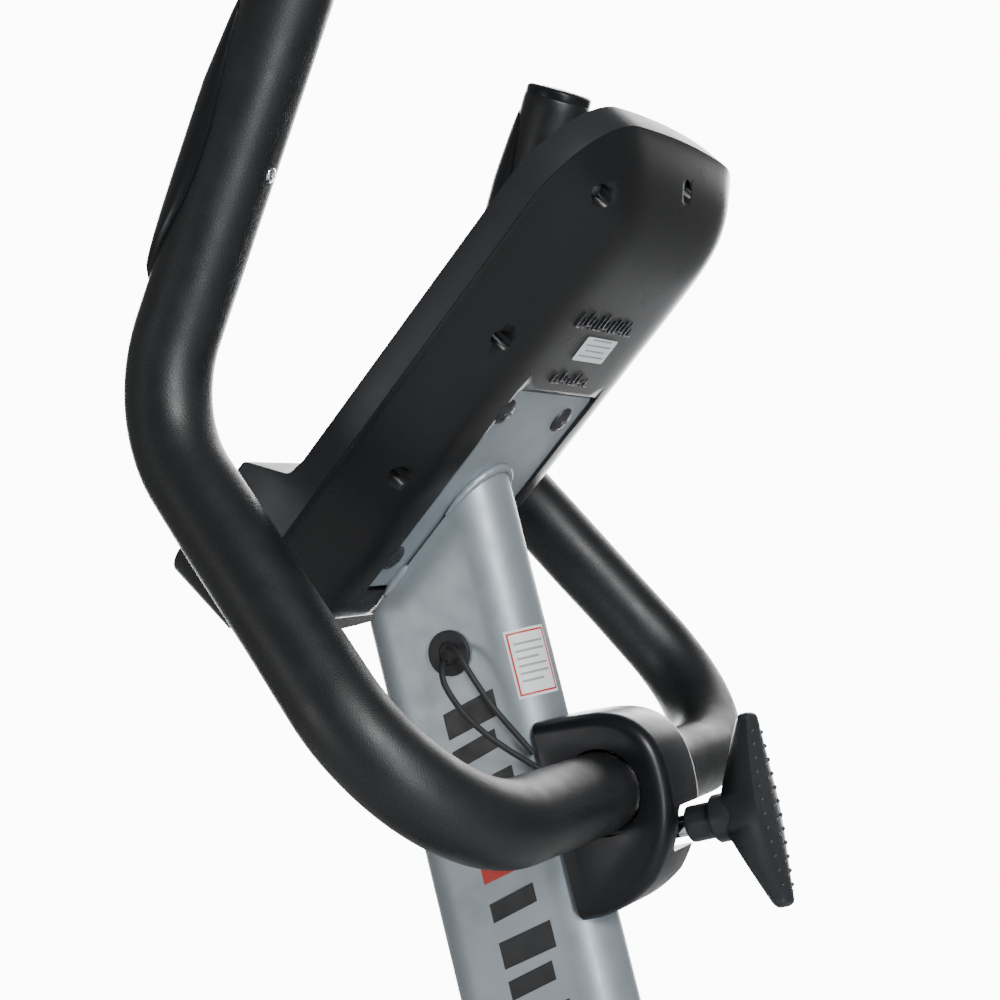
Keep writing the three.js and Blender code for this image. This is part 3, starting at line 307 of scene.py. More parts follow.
def inset(points, distance):
    """Every point of a closed outline moved inward by one distance."""
    p = np.array(points, float)
    if signed_area(points) < 0:
        p = p[::-1]
    edge = np.roll(p, -1, axis=0) - p
    normal = np.stack([-edge[:, 1], edge[:, 0]], 1) / np.linalg.norm(edge, axis=1)[:, None]
    before = np.roll(normal, 1, axis=0)
    both = normal + before
    moved = p + both * (distance / (1 + np.sum(normal * before, 1)))[:, None]
    if signed_area(points) < 0:
        moved = moved[::-1]
    return [tuple(q) for q in moved]


# ------------------------------------------------------------------ bodies as (points, faces)

AXES = {
    "X": lambda a, b, h: (h, a, b),
    "Y": lambda a, b, h: (a, h, b),
    "Z": lambda a, b, h: (a, b, h),
}


def skin(rings, caps=(True, True)):
    """Rings of equal count joined into a tube, with flat or open ends."""
    count = len(rings[0])
    points = [tuple(p) for ring in rings for p in ring]
    faces = []
    for k in range(len(rings) - 1):
        for i in range(count):
            j = (i + 1) % count
            faces.append((k * count + i, k * count + j, (k + 1) * count + j,
                          (k + 1) * count + i))
    if caps[0]:
        faces.append(tuple(range(count))[::-1])
    if caps[1]:
        faces.append(tuple(range((len(rings) - 1) * count, len(rings) * count)))
    return points, faces


def prism(outline, h0, h1, axis="Z", edge=0.0, low_edge=None, steps=4, caps=(True, True)):
    """An outline drawn out along an axis, its rims rounded by edge."""
    low_edge = edge if low_edge is None else low_edge
    levels = []
    for radius, end, sign in ((low_edge, h0, 1), (edge, h1, -1)):
        turns = [k / steps * PI / 2 for k in range(steps + 1)] if radius else [PI / 2]
        part = [(radius * (1 - math.sin(a)), end + sign * radius * (1 - math.cos(a)))
                for a in turns]
        levels += part if sign > 0 else part[::-1]
    place = AXES[axis]
    rings = [[place(a, b, h) for a, b in (inset(outline, d) if d > 1e-9 else outline)]
             for d, h in levels]
    return skin(rings, caps)


def hollow(rings):
    """Rings joined into a tube whose last ring also joins the first."""
    points, faces = skin(rings, (False, False))
    count = len(rings[0])
    last = (len(rings) - 1) * count
    faces += [(last + i, last + (i + 1) % count, (i + 1) % count, i) for i in range(count)]
    return points, faces


def tube(outline, wall, h0, h1, axis="Z"):
    """A hollow section with open ends."""
    place = AXES[axis]
    inner = inset(outline, wall)
    return hollow([[place(a, b, h) for a, b in line]
                   for line, h in ((outline, h0), (outline, h1), (inner, h1), (inner, h0))])


def lathe(profile, axis="Y", sides=48, lobes=0, depth=0.0):
    """A profile of (radius, height) turned about an axis, with lobes cut into its rim."""
    place = AXES[axis]
    rings = []
    for radius, height in profile:
        ring = []
        for i in range(sides):
            a = 2 * PI * i / sides
            r = max(radius, 1e-4)
            if lobes:
                r -= depth * (r / 26) ** 2 * (0.5 + 0.5 * math.cos(lobes * a))
            ring.append(place(r * math.cos(a), r * math.sin(a), height))
        rings.append(ring)
    return skin(rings)


def along(points, radii, sides=32):
    """A round tube that follows points, with a radius at each."""
    p = np.array(points, float)
    tangent = np.gradient(p, axis=0)
    tangent /= np.linalg.norm(tangent, axis=1)[:, None]
    normal = np.cross(tangent[0], (0.31, 0.17, 0.94))
    rings = []
    for point, direction, radius in zip(p, tangent, radii):
        normal = normal - direction * float(normal @ direction)
        normal /= np.linalg.norm(normal)
        other = np.cross(direction, normal)
        rings.append([point + radius * (math.cos(a) * normal + math.sin(a) * other)
                      for a in np.linspace(0, 2 * PI, sides, endpoint=False)])
    return skin(rings)


def merged(*bodies):
    points, faces = [], []
    for body_points, body_faces in bodies:
        start = len(points)
        points += [tuple(p) for p in body_points]
        faces += [tuple(i + start for i in face) for face in body_faces]
    return points, faces


def shifted(body, x=0.0, y=0.0, z=0.0, turn=None):
    """A body turned by a matrix and then moved."""
    points = [Vector(p) for p in body[0]]
    if turn is not None:
        points = [turn @ p for p in points]
    return [(p.x + x, p.y + y, p.z + z) for p in points], body[1]


def mirror(body):
    return [(x, -y, z) for x, y, z in body[0]], [face[::-1] for face in body[1]]


def handed(sign):
    """What turns a body drawn for the left side into the one for this side."""
    return mirror if sign < 0 else lambda body: body


# ------------------------------------------------------------------ pieces


SAME_POINT = 2e-6


def cleaned(mesh, merge=SAME_POINT, sharp=None):
    """Merges doubled points and turns the faces outward. With sharp, an angle in degrees,
    shades the mesh smooth and leaves the edges sharper than that crisp."""
    work = bmesh.new()
    work.from_mesh(mesh)
    if merge:
        bmesh.ops.remove_doubles(work, verts=work.verts, dist=merge)
    bmesh.ops.recalc_face_normals(work, faces=work.faces)
    if sharp is not None:
        limit = math.radians(sharp)
        for face in work.faces:
            face.smooth = True
        for edge in work.edges:
            edge.smooth = not (len(edge.link_faces) == 2 and edge.calc_face_angle() > limit)
    work.to_mesh(mesh)
    work.free()
    mesh.update()


def bare(name, body, place):
    mesh = bpy.data.meshes.new(name)
    mesh.from_pydata([tuple(p) for p in body[0]], [], body[1])
    mesh.transform(place)
    thing = bpy.data.objects.new(name, mesh)
    bpy.context.scene.collection.objects.link(thing)
    cleaned(mesh)
    return thing


def baked(thing):
    """Applies the modifiers of an object to its mesh."""
    view = bpy.context.evaluated_depsgraph_get()
    mesh = bpy.data.meshes.new_from_object(thing.evaluated_get(view))
    thing.modifiers.clear()
    thing.data = mesh
    return thing


def boolean(thing, body, place, operation="DIFFERENCE"):
    cutter = bare("cutter", body, place)
    step = thing.modifiers.new("cut", "BOOLEAN")
    step.operation, step.object, step.solver = operation, cutter, "EXACT"
    baked(thing)
    bpy.data.objects.remove(cutter)


def rounded_edges(thing, width, angle=30, segments=3):
    step = thing.modifiers.new("bevel", "BEVEL")
    step.width, step.segments = width * MM, segments
    step.limit_method, step.angle_limit = "ANGLE", math.radians(angle)
    step.harden_normals = False
    return baked(thing)


def dress(thing, look, body, replaces=(), sharp=34):
    """Gives a piece its finish, its body and the CAD nodes it stands for."""
    slot, material = LOOKS[look]
    thing.data.materials.clear()
    thing.data.materials.append(material)
    cleaned(thing.data, sharp=sharp)
    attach(thing, body)
    if replaces:
        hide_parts(*([replaces] if isinstance(replaces, str) else replaces))
    return thing


def piece(name, body, place, look, rides="frame", replaces=(), sharp=34):
    return dress(bare(name, body, place), look, rides, replaces, sharp)


# ------------------------------------------------------------------ pulse leads

LEADS = [
    [(-74, -25, 55), (-73, -29.5, 52), (-70.5, -32, 46), (-66, -32.5, 39.5), (-60.5, -32, 33),
     (-54, -30.8, 27), (-47, -28.8, 21.5), (-40, -26, 16.5), (-34.5, -23.1, 12.7),
     (-29.2, -20.4, 9.1)],
    [(-72, -25, 61.5), (-67.5, -29, 61), (-62.5, -31.2, 57.5), (-58, -31.6, 51.5),
     (-53.5, -30.9, 45), (-48.5, -29.8, 38), (-43, -27.8, 31), (-37.5, -25, 24),
     (-31.3, -21.2, 15.6)],
]
LEAD_RADIUS = 1.4


def smooth_line(points, steps=8):
    """A uniform Catmull-Rom curve through points, which suits evenly spaced ones."""
    p = [2 * np.array(points[0]) - points[1], *map(np.array, points)]
    p.append(2 * p[-1] - p[-2])
    line = []
    for a, b, c, d in zip(p, p[1:], p[2:], p[3:]):
        for t in np.linspace(0, 1, steps, endpoint=False):
            line.append(0.5 * (2 * b + (c - a) * t + (2 * a - 5 * b + 4 * c - d) * t ** 2
                               + (3 * b - a - 3 * c + d) * t ** 3))
    return [*line, p[-2]]


def add_leads():
    for number, points in enumerate(LEADS, 1):
        line = smooth_line(points)
        name = f"pulse_lead_{number}_cable"
        lead = piece(name, along(line, [LEAD_RADIUS] * len(line), 16), BAR, "rubber",
                     "frame", f"pulse_lead_{number}")


# ------------------------------------------------------------------ mast and its details

MAST_WIDTH, MAST_DEPTH, MAST_V, MAST_WALL = 85, 40, -59, 2
FLAT_FRONT = MAST_V + (MAST_WIDTH - MAST_DEPTH) / 2
MAST_R = MAST_DEPTH / 2
BOTTOM_U = -576
GROMMET_AT = (-55.3, 0, 76.3)


def meets_plate(v, gap=0.3):
    """Height u at which the mast, at depth v, meets the console's plate."""
    to_console = CONSOLE.inverted() @ MAST
    low = (to_console @ Vector((v, 0, 0))).z
    rise = (to_console @ Vector((v, 0, 100))).z - low
    return (-gap - low) / rise * 100


def around_mast(p, u, lift=0.0):
    """A point on the mast's near side: p runs forward from where the round front begins."""
    if p <= 0:
        return FLAT_FRONT + p, -MAST_R - lift, u
    angle = p / MAST_R
    return (FLAT_FRONT + (MAST_R + lift) * math.sin(angle),
            -(MAST_R + lift) * math.cos(angle), u)


def mast_patch(p0, p1, u0, u1, lift, slant=0.0, steps=10, thickness=0.12):
    """A thin film on the mast between two heights, leaning by slant."""
    lower, upper = [], []
    for k in range(steps + 1):
        p = p0 + (p1 - p0) * k / steps
        rise = slant * k / steps
        lower.append((p, u0 + rise))
        upper.append((p, u1 + rise))
    outline = lower + upper[::-1]
    rings = [[around_mast(p, u, h) for p, u in outline] for h in (lift, lift + thickness)]
    points, faces = skin(rings, (False, False))
    count = len(outline)
    for base in (0, count):
        for k in range(steps):
            a, b = base + k, base + k + 1
            c, d = base + count - 2 - k, base + count - 1 - k
            faces.append((a, b, c, d))
    return points, faces


def add_mast():
    outline = stadium(MAST_WIDTH, MAST_DEPTH, MAST_V)
    inner = inset(outline, MAST_WALL)
    rings = [
        [(v, y, BOTTOM_U) for v, y in outline],
        [(v, y, meets_plate(v, 1.3)) for v, y in outline],
        [(v, y, meets_plate(v, 1.3)) for v, y in inner],
        [(v, y, BOTTOM_U) for v, y in inner],
    ]
    mast = bare("mast_tube", hollow(rings), MAST)
    hole = shifted(prism(circle(8.5), -40, 0, "Y"), *GROMMET_AT)
    boolean(mast, hole, MAST)
    dress(mast, "silver", "frame", "mast")
    # Short weld beads join the front and the rear of the mast's end to the plate.
    edge = stadium(MAST_WIDTH + 1, MAST_DEPTH + 1, MAST_V, steps=30)
    beads = {"front": [(-40, -20.5), *edge[:26]],
             "rear": [(-81, -20.5), (-76, -20.5), (-71, -20.5), (-66, -20.5)]}
    for end, route in beads.items():
        for side, sign in SIDES.items():
            line = smooth_line([(v, -sign * y, meets_plate(v, 1.4)) for v, y in route], 4)
            count = len(line)
            radii = [max(0.3, 2.1 * math.sin(PI * (k + 0.5) / count) ** 0.35
                         * (1 + 0.035 * math.sin(0.7 * k))) for k in range(count)]
            piece(f"weld_{end}_{side}", along(line, radii, 16), MAST, "silver")


def add_mast_prints():
    label = mast_patch(9, 31, 48, 79, 0.05, steps=14)
    piece("mast_label", label, MAST, "paper", sharp=60)
    border = [
        mast_patch(10, 30, 77, 77.8, 0.2), mast_patch(10, 30, 49.2, 50, 0.2),
        mast_patch(10, 10.8, 50, 77, 0.2), mast_patch(29.2, 30, 50, 77, 0.2),
    ]
    piece("mast_label_border", merged(*border), MAST, "red", sharp=60)
    lines = [mast_patch(12.5, 27.5 - 4 * (k % 3 == 2), 72 - 3.4 * k, 73 - 3.4 * k, 0.2)
             for k in range(6)]
    piece("mast_label_lines", merged(*lines), MAST, "print", sharp=60)
    bars, reds = [], []
    for k in range(17):
        top = 50 - 17.5 * k
        tall = 8.5 if k % 3 else 12.0
        target = reds if k == 4 else bars
        target.append(mast_patch(-30, -6 if k % 2 else -2, top - tall, top, 0.05, 6, 6))
    piece("mast_stripes", merged(*bars), MAST, "ink", sharp=60)
    piece("mast_stripe_red", merged(*reds), MAST, "red", sharp=60)


def add_grommet():
    rim = softened([(5, 0.3), (10.5, 0.3), (10.5, 2.2), (5, 2.2)], [0, 0, 1.2, 1.0], 5)
    ring = [(r, -MAST_R - h) for r, h in [*rim, rim[0]]]
    membrane = prism(circle(5.2, steps=32), -MAST_R - 1.2, -MAST_R - 0.2, "Y", 0.3)
    body = shifted(merged(lathe(ring, "Y", 40), membrane), *GROMMET_AT)
    piece("grommet_ring", body, MAST, "rubber", "frame", "grommet")


def add_collar():
    outer = stadium(MAST_WIDTH + 26, MAST_DEPTH + 24, MAST_V)
    waist = stadium(MAST_WIDTH + 8, MAST_DEPTH + 7, MAST_V)
    hole = stadium(MAST_WIDTH + 1, MAST_DEPTH + 1, MAST_V)
    levels = [(outer, -592), (outer, -556), (inset(outer, 1), -551), (inset(outer, 3), -546),
              (waist, -534), (inset(waist, 1.4), -532), (hole, -532)]
    rings = [[(v, y, u) for v, y in line] for line, u in levels]
    rings[0] = [(v, y, -562 + (v - MAST_V) * 0.27 - 16) for v, y in outer]
    piece("mast_collar_boot", skin(rings, (False, False)), MAST, "plastic", "frame",
          "mast_collar")


# ------------------------------------------------------------------ handlebar

FOAM_R = 18
FILLET = 64
CORNER = (0, 170.5, 0)
BEND = (-150.1, 140.5, 163.1)
END = (-88.5, 126.2, 339.3)


def bar_line(start_y, step=3.0):
    """The left half of the bar's centre line, with round bends."""
    corners = [Vector(p) for p in ((0, start_y, 0), CORNER, BEND, END)]
    line = [corners[0]]
    for a, b, c in zip(corners, corners[1:], corners[2:]):
        before, after = (b - a).normalized(), (c - b).normalized()
        turn = before.angle(after)
        start = b - before * FILLET * math.tan(turn / 2)
        inward = (after - before * before.dot(after)).normalized()
        gap = (start - line[-1]).length
        count = max(2, int(gap / step))
        line += [line[-1].lerp(start, k / count) for k in range(1, count + 1)]
        count = max(4, int(FILLET * turn / step))
        line += [start + before * FILLET * math.sin(turn * k / count)
                 + inward * FILLET * (1 - math.cos(turn * k / count))
                 for k in range(1, count + 1)]
    count = int((corners[-1] - line[-1]).length / step)
    last = line[-1]
    return line + [last.lerp(corners[-1], k / count) for k in range(1, count + 1)]


def foam_body():
    line = bar_line(15)
    ends = [(0.0, 14.2), (0.05, 16.4), (0.3, 17.1), (0.9, 17.6), (2.0, 17.9)]
    a, b = (line[1] - line[0]).normalized(), (line[-1] - line[-2]).normalized()
    head = [(line[0] + a * d, r) for d, r in ends]
    tail = [(line[-1] - b * d, r) for d, r in ends[::-1]]
    stations = head + [(p, FOAM_R) for p in line[2:-2]] + tail
    points, faces = along([p for p, _ in stations], [r for _, r in stations], 56)
    soft = []
    for x, y, z in points:
        lump = noise.noise(Vector((x, y, z)) / 34)
        soft.append((x + 0.35 * lump, y + 0.25 * lump, z + 0.2 * lump))
    return soft, faces


def horn_place(distance):
    """A frame on the upright part of the grip: x towards the rider, z up along it."""
    bend, end = Vector(BEND), Vector(END)
    up = (end - bend).normalized()
    rearward = (Vector((-1, 0, 0)) + up * up.x).normalized()
    side = up.cross(rearward)
    turn = Matrix((rearward, side, up)).transposed()
    return turn.to_4x4(), bend + up * distance


HOUSING = [(50, 5), (58, 32), (67, 50), (76, 64), (85, 74), (95, 80), (105, 82), (121, 81),
           (135, 73), (153, 61), (168, 55), (174, 38), (178, 5)]
PLATES = {"low": [(60, 4), (68, 18), (80, 27), (108, 30), (112, 26), (114, 10)],
          "high": [(118, 10), (120, 26), (124, 30), (160, 30), (172, 22), (178, 6)]}


def leaf(widths, thick):
    """A curved shield on the grip, its half angle given at a few heights."""
    heights, angles = zip(*widths)
    low, high = heights[0], heights[-1]
    rings = []
    for k in range(61):
        z = low + (high - low) * (0.5 - 0.5 * math.cos(PI * k / 60))
        wide = float(np.interp(z, heights, angles))
        lift = thick * min(1, (z - low) / 9) ** 0.5 * min(1, (high - z) / 40) ** 0.7
        ring = []
        for a in np.linspace(-1, 1, 33):
            fall = math.cos(a * PI / 2 * 0.999) ** 0.32
            r = FOAM_R + 0.3 + lift * fall
            ring.append((r * math.cos(math.radians(a * wide)),
                         r * math.sin(math.radians(a * wide)), z))
        for a in np.linspace(1, -1, 17):
            r = FOAM_R - 0.8
            ring.append((r * math.cos(math.radians(a * wide)),
                         r * math.sin(math.radians(a * wide)), z))
        rings.append(ring)
    return skin(rings)


def screw_head(radius, height):
    """A low round head, drawn up the z axis from 0, with a cross that stands just proud of it."""
    dome = [(0.01, height), (radius * 0.3, height * 0.97), (radius * 0.6, height * 0.85),
            (radius * 0.85, height * 0.6), (radius * 0.97, height * 0.3), (radius, 0),
            (0.01, 0)]
    body = lathe(dome, "Z", 28)
    reach, half = radius * 0.5, radius * 0.11
    bar = box_outline(-reach, reach, half, half * 0.8, steps=3)
    cross = [prism(outline, height * 0.72, height * 1.03)
             for outline in (bar, [(y, -x) for x, y in bar])]
    return merged(body, *cross)


def add_handlebar():
    foam = foam_body()
    turn, _ = horn_place(0)
    plates = {
        "housing": (leaf(HOUSING, 4.2), "plastic"),
        "plate_low": (leaf(PLATES["low"], 4.7), "contact"),
        "plate_high": (leaf(PLATES["high"], 4.7), "contact"),
    }
    for side, sign in SIDES.items():
        own = handed(sign)
        piece(f"grip_{side}", own(foam), BAR, "foam", "handlebar", f"grip_foam_{side}")
        for key, (body, look) in plates.items():
            _, origin = horn_place(0)
            shape = own(shifted(body, *origin, turn=turn))
            stands_for = f"pulse_sensor_{side}" if key == "housing" else ()
            piece(f"pulse_{key}_{side}", shape, BAR, look, "handlebar", stands_for)
        _, top = horn_place((Vector(END) - Vector(BEND)).length)
        profile = softened(
            [(0.01, -11), (9.5, -11), (9.5, -0.8), (17.6, -0.8), (17.6, 3.6), (15.5, 4.6),
             (0.01, 5.4)], [0, 0, 0, 0.5, 1.6, 2, 0], 4, closed=False)
        cap = own(shifted(lathe(profile, "Z", 56), *top, turn=turn))
        piece(f"grip_end_{side}", cap, BAR, "plastic", "handlebar", f"grip_cap_{side}")
        # A screw through the foam holds each pulse housing from the front.
        _, at = horn_place(110)
        out = turn.to_3x3() @ Vector((-0.985, 0.174, 0)).normalized()
        head_turn = out.to_track_quat("Z", "Y").to_matrix().to_4x4()
        spot = at + out * (FOAM_R - 0.6)
        head = own(shifted(screw_head(3.4, 1.6), *spot, turn=head_turn))
        piece(f"grip_screw_{side}", head, BAR, "chrome", "handlebar")


# ------------------------------------------------------------------ clamp cover and knob

COVER_HALF = 20.5
SCREW_U = -22.9


def cover_outline():
    front, rear, foot = 32, -30, -53
    return (
        [(rear, 37), (-12, 36.2)]
        + bezier((2, 35), (22, 33), (front, 22), (front, 2), 14)
        + bezier((front, 2), (front, -16), (front - 6, -30), (14, -42), 12)
        + bezier((14, -42), (4, -49), (-6, foot + 1), (-16, foot), 8)
        + [(-16, foot), (rear, foot)]
    )


def add_cover():
    cover = bare("clamp_shell",
                 prism(cover_outline(), -COVER_HALF, COVER_HALF, "Y", 6.5, steps=8), MAST)
    near_mast = prism(stadium(MAST_WIDTH + 0.6, MAST_DEPTH + 0.6, MAST_V), -100, 100)
    boolean(cover, near_mast, MAST)
    boolean(cover, prism(box_outline(-60, -24, 60, 1), -100, 100), MAST)
    boolean(cover, prism(circle(19.2, 0.8, 0, 64), -50, 50, "Y"), MAST)
    notch = prism(box_outline(-32.2, -13.4, 34.4, 3, middle=25.8, steps=4), 10.5, 60, "Z")
    turn = Matrix(((0, 0, 1), (0, 1, 0), (1, 0, 0))).to_4x4()
    boolean(cover, shifted(notch, turn=turn), MAST)
    rounded_edges(cover, 1.6, 40, 4)
    dress(cover, "plastic", "frame", "clamp_cover", 40)


def handle_half(z):
    return 14.4 - 9.4 * min(1, abs(z) / 42) ** 1.6


def handle_front(y, z):
    """Depth of the handle's dotted face, crowned across and hollow along."""
    return 69.4 + 0.5 * (z / 42) ** 2 - 2.4 * (y / handle_half(z)) ** 2


def knob_handle():
    """The T of the clamp screw: crowned in front, its back falling away to both tips."""
    rings = []
    count = 44
    for k in range(count + 1):
        z = 42 * math.sin((k / count - 0.5) * PI)
        end = math.sqrt(max(0, 1 - (max(0, abs(z) - 39.5) / 2.5) ** 2))
        half = handle_half(z)
        back = 49 + 13.2 * max(0, (abs(z) - 9) / 33) ** 1.05
        ring = [(handle_front(half * w, z), half * w) for w in np.linspace(-1, 1, 13)]
        ring += [(63.2, half), (back + 1, half * 0.66), (back, half * 0.45),
                 (back, -half * 0.45), (back + 1, -half * 0.66), (63.2, -half)]
        middle = 64.4
        share = 0.3 + 0.7 * end
        rings.append([(middle + (v - middle) * share, y * share, z) for v, y in ring])
    return skin(rings)


def add_knob():
    turn = Matrix.Rotation(math.radians(-10), 4, "X")

    def set_on(body):
        return shifted(body, 0, 0, SCREW_U, turn)

    sleeve = softened([(0.01, -12), (4, -12), (4, 18), (4.7, 18), (4.7, 31), (0.01, 31)],
                      [0, 0.4, 0, 0.4, 0.4, 0], 3, closed=False)
    piece("knob_screw", set_on(lathe(sleeve, "X", 40)), MAST, "chrome", "clamp_screw")
    hub = softened([(0.01, 30), (8, 30), (8, 42.5), (10.5, 42.5), (10.5, 53), (0.01, 53)],
                   [0, 1, 0.5, 1, 1, 0], 3, closed=False)
    body = set_on(merged(lathe(hub, "X", 48), knob_handle()))
    piece("knob_handle", body, MAST, "handle", "clamp_screw", "clamp_knob", 50)
    dots = []
    dome = [(0.01, 0.85), (0.45, 0.75), (0.85, 0.4), (1.05, -0.4), (0.01, -0.4)]
    bump = lathe(dome, "X", 12)
    for row in (-1, 0, 1):
        for k in range(13):
            z = 6 * (k - 6) + (3 if row else 0)
            y = row * handle_half(z) * 0.68
            if abs(z) < 39:
                dots.append(shifted(bump, handle_front(y, z), y, z))
    piece("knob_dots", set_on(merged(*dots)), MAST, "handle", "clamp_screw", (), 60)


# ------------------------------------------------------------------ console

SCREW_PLACES = [(s, y) for s in (153, 80, 5) for y in (68, -68)] + [(168, 0)]
CORNER_STEPS = 14


def dense(outline, parts=14):
    """Points added along the four straight sides of a box outline."""
    out = []
    for i, (a, b) in enumerate(zip(outline, outline[1:] + outline[:1])):
        out.append(a)
        if i % (CORNER_STEPS + 1) == CORNER_STEPS:
            out += [(a[0] + (b[0] - a[0]) * k / parts, a[1] + (b[1] - a[1]) * k / parts)
                    for k in range(1, parts)]
    return out


def rim(low, foot_bow):
    """The console's outline: bowed at the top end, and at the foot by foot_bow."""
    points = []
    for s, y in dense(box_outline(low, 178, 93, 12, 42, CORNER_STEPS)):
        bow = 1 - (y / 93) ** 2
        s += 6 * bow * min(1, max(0, (s - 148) / 30))
        s -= foot_bow * bow * min(1, max(0, (low + 20 - s) / 20))
        points.append((s, y))
    return points


def soft_ramp(x, width, round_off):
    """Climbs from 0 to 1 over width, leaving the level gently."""
    x = (x + math.sqrt(x * x + round_off * round_off)) / 2
    return max(0.0, x / width)


def back_depth(s, y, t):
    """How deep the console's back lies: a level field, flat flanks and a rounded top end."""
    flank = soft_ramp(abs(y) - 55, 39, 8)
    foot = soft_ramp(-77 - s, 10, 4)
    x = min(1, max(0, (s - 119) / 66))
    crown = 1 - math.sqrt(1 - x * x * 0.96)
    rise = min(1, (flank ** 2.1 + foot ** 2.1 + crown ** 2.1) ** (1 / 2.1))
    return -2 + 25 * (rise + (1 - rise) * t ** 7)


def back_rings():
    inner = dense(box_outline(-66, 108, 30, 10, 24, CORNER_STEPS))
    outer = rim(-86, 0)
    rings = []
    for t in [*np.linspace(0, 0.9, 28), 0.93, 0.955, 0.975, 0.99, 1]:
        ring = []
        for (s0, y0), (s1, y1) in zip(inner, outer):
            s, y = s0 + (s1 - s0) * t, y0 + (y1 - y0) * t
            ring.append((s, y, back_depth(s, y, t)))
        rings.append(ring)
    return rings


def add_console_back():
    shell = bare("console_shell_back", skin(back_rings()), CONSOLE)
    pocket = prism(box_outline(-57, 62.5, 41, 3, steps=4), -20, 3.3)
    boolean(shell, pocket, CONSOLE)
    to_console = CONSOLE.inverted() @ MAST
    mast_end = prism(stadium(MAST_WIDTH + 1.6, MAST_DEPTH + 1.6, MAST_V), -50, 250)
    mast_end = ([tuple(to_console @ Vector(p)) for p in mast_end[0]], mast_end[1])
    room = bare("room", mast_end, CONSOLE)
    boolean(room, prism(box_outline(-200, 200, 100, 1), -100, 0.3), CONSOLE, "INTERSECT")
    step = shell.modifiers.new("cut", "BOOLEAN")
    step.operation, step.object, step.solver = "DIFFERENCE", room, "EXACT"
    baked(shell)
    bpy.data.objects.remove(room)
    for s, y in SCREW_PLACES:
        boolean(shell, prism(circle(4.4, s, y, 32), -20, 17), CONSOLE)
    rounded_edges(shell, 0.7, 42, 2)
    dress(shell, "shell", "frame", "console_back", 50)
    # The screw heads take the black finish so that the deep holes read dark: painted shade in the
    # holes.
    for number, (s, y) in enumerate(SCREW_PLACES, 1):
        head = shifted(screw_head(3.6, 2), s, y, 15, Matrix.Rotation(PI, 4, "X"))
        piece(f"console_screw_{number}", head, CONSOLE, "black_steel")


def add_console_marks():
    """A blank rating label and two rows of plain moulded ticks."""
    low = -2.12
    label = prism(box_outline(81.5, 94.5, 16, 1, steps=3), low, -1.9)
    piece("console_label", label, CONSOLE, "paper", sharp=60)
    lines = [prism(box_outline(84 + 3 * k, 84.8 + 3 * k, 13 - 3 * (k % 2), 0.2, steps=2),
                   low - 0.08, low + 0.02) for k in range(4)]
    piece("console_label_lines", merged(*lines), CONSOLE, "print", sharp=60)
    ticks = []
    for s0, first, count, tall in ((98, -36, 14, 8), (68, -20, 9, 6)):
        for k in range(count):
            y = first + 4.3 * k
            low_end = s0 + 1.4 * (k % 4 == 2)
            length = tall - 2.6 * (k % 3 == 1) - 1.2 * (k % 5 == 3)
            ticks.append(prism(box_outline(low_end, low_end + length, 0.55, 0.4, steps=3,
                                           middle=y), -2.35, -1.9, low_edge=0.2, steps=2))
            if k % 4 != 3:
                ticks.append(prism(box_outline(low_end, low_end + 1.1, 1.5, 0.4, steps=3,
                                               middle=y + 1.6), -2.35, -1.9, low_edge=0.2,
                                   steps=2))
    piece("console_ticks", merged(*ticks), CONSOLE, "plastic", sharp=50)


def add_plate():
    plate = bare("console_bracket", prism(box_outline(-55, 61, 40, 3, steps=5), 0, 3, "Z", 0.6),
                 CONSOLE)
    dress(plate, "silver", "frame", "console_plate")
    flip = Matrix.Rotation(PI, 4, "X")
    for number, (s, y) in enumerate(((47, 24), (49, -37), (-38, 24), (-37, -37)), 1):
        head = shifted(screw_head(6.8, 2.4), s, y, 0, flip)
        piece(f"plate_screw_{number}", head, CONSOLE, "black_steel")


def add_console_front():
    shell = bare("console_shell_front", prism(rim(-95, 14), 23.3, 64), CONSOLE)
    profile = softened(
        [(-130, 23.3), (200, 23.3), (200, 37), (-12, 37), (-21, 38.5), (-27.5, 51), (-32, 60),
         (-130, 61.5)], [0, 0, 0, 2, 5, 3, 3, 0], 4)
    boolean(shell, prism(profile, -100, 100, "Y"), CONSOLE, "INTERSECT")
    rounded_edges(shell, 3.2, 35, 4)
    boolean(shell, prism(box_outline(5.7, 162.3, 74.3, 10, steps=6), 33.4, 60), CONSOLE)
    boolean(shell, prism(box_outline(12, 156, 68, 6, steps=6), 29, 60), CONSOLE)
    for k in range(5):
        boolean(shell, prism(circle(9.4, -64, 30 * (k - 2), 40), 52, 70), CONSOLE)
    dress(shell, "shell_side", "frame", "console_front", 38)


SEGMENTS = {"a": (0, 1, 1), "b": (1, 0.5, 0), "c": (1, -0.5, 0), "d": (0, -1, 1),
            "e": (-1, -0.5, 0), "f": (-1, 0.5, 0), "g": (0, 0, 1)}
DIGITS = {"0": "abcdef", "1": "bc", "2": "abged", "3": "abgcd", "4": "fgbc", "5": "afgcd",
          "8": "abcdefg"}


def digit(character, s, y, tall, up=30.0):
    """One seven-segment figure on the screen; the rider reads it with +Y on the left."""
    bars = []
    half = tall / 4
    for key in DIGITS[character]:
        across, rise, flat = SEGMENTS[key]
        cy, cs = y - across * half, s + rise * tall / 2
        long, thin = tall * 0.2, tall * 0.045
        ds, dy = (thin, long) if flat else (long, thin)
        bars.append(prism(box_outline(cs - ds, cs + ds, dy, thin * 0.8, steps=2, middle=cy),
                          up, up + 0.25))
    return merged(*bars)


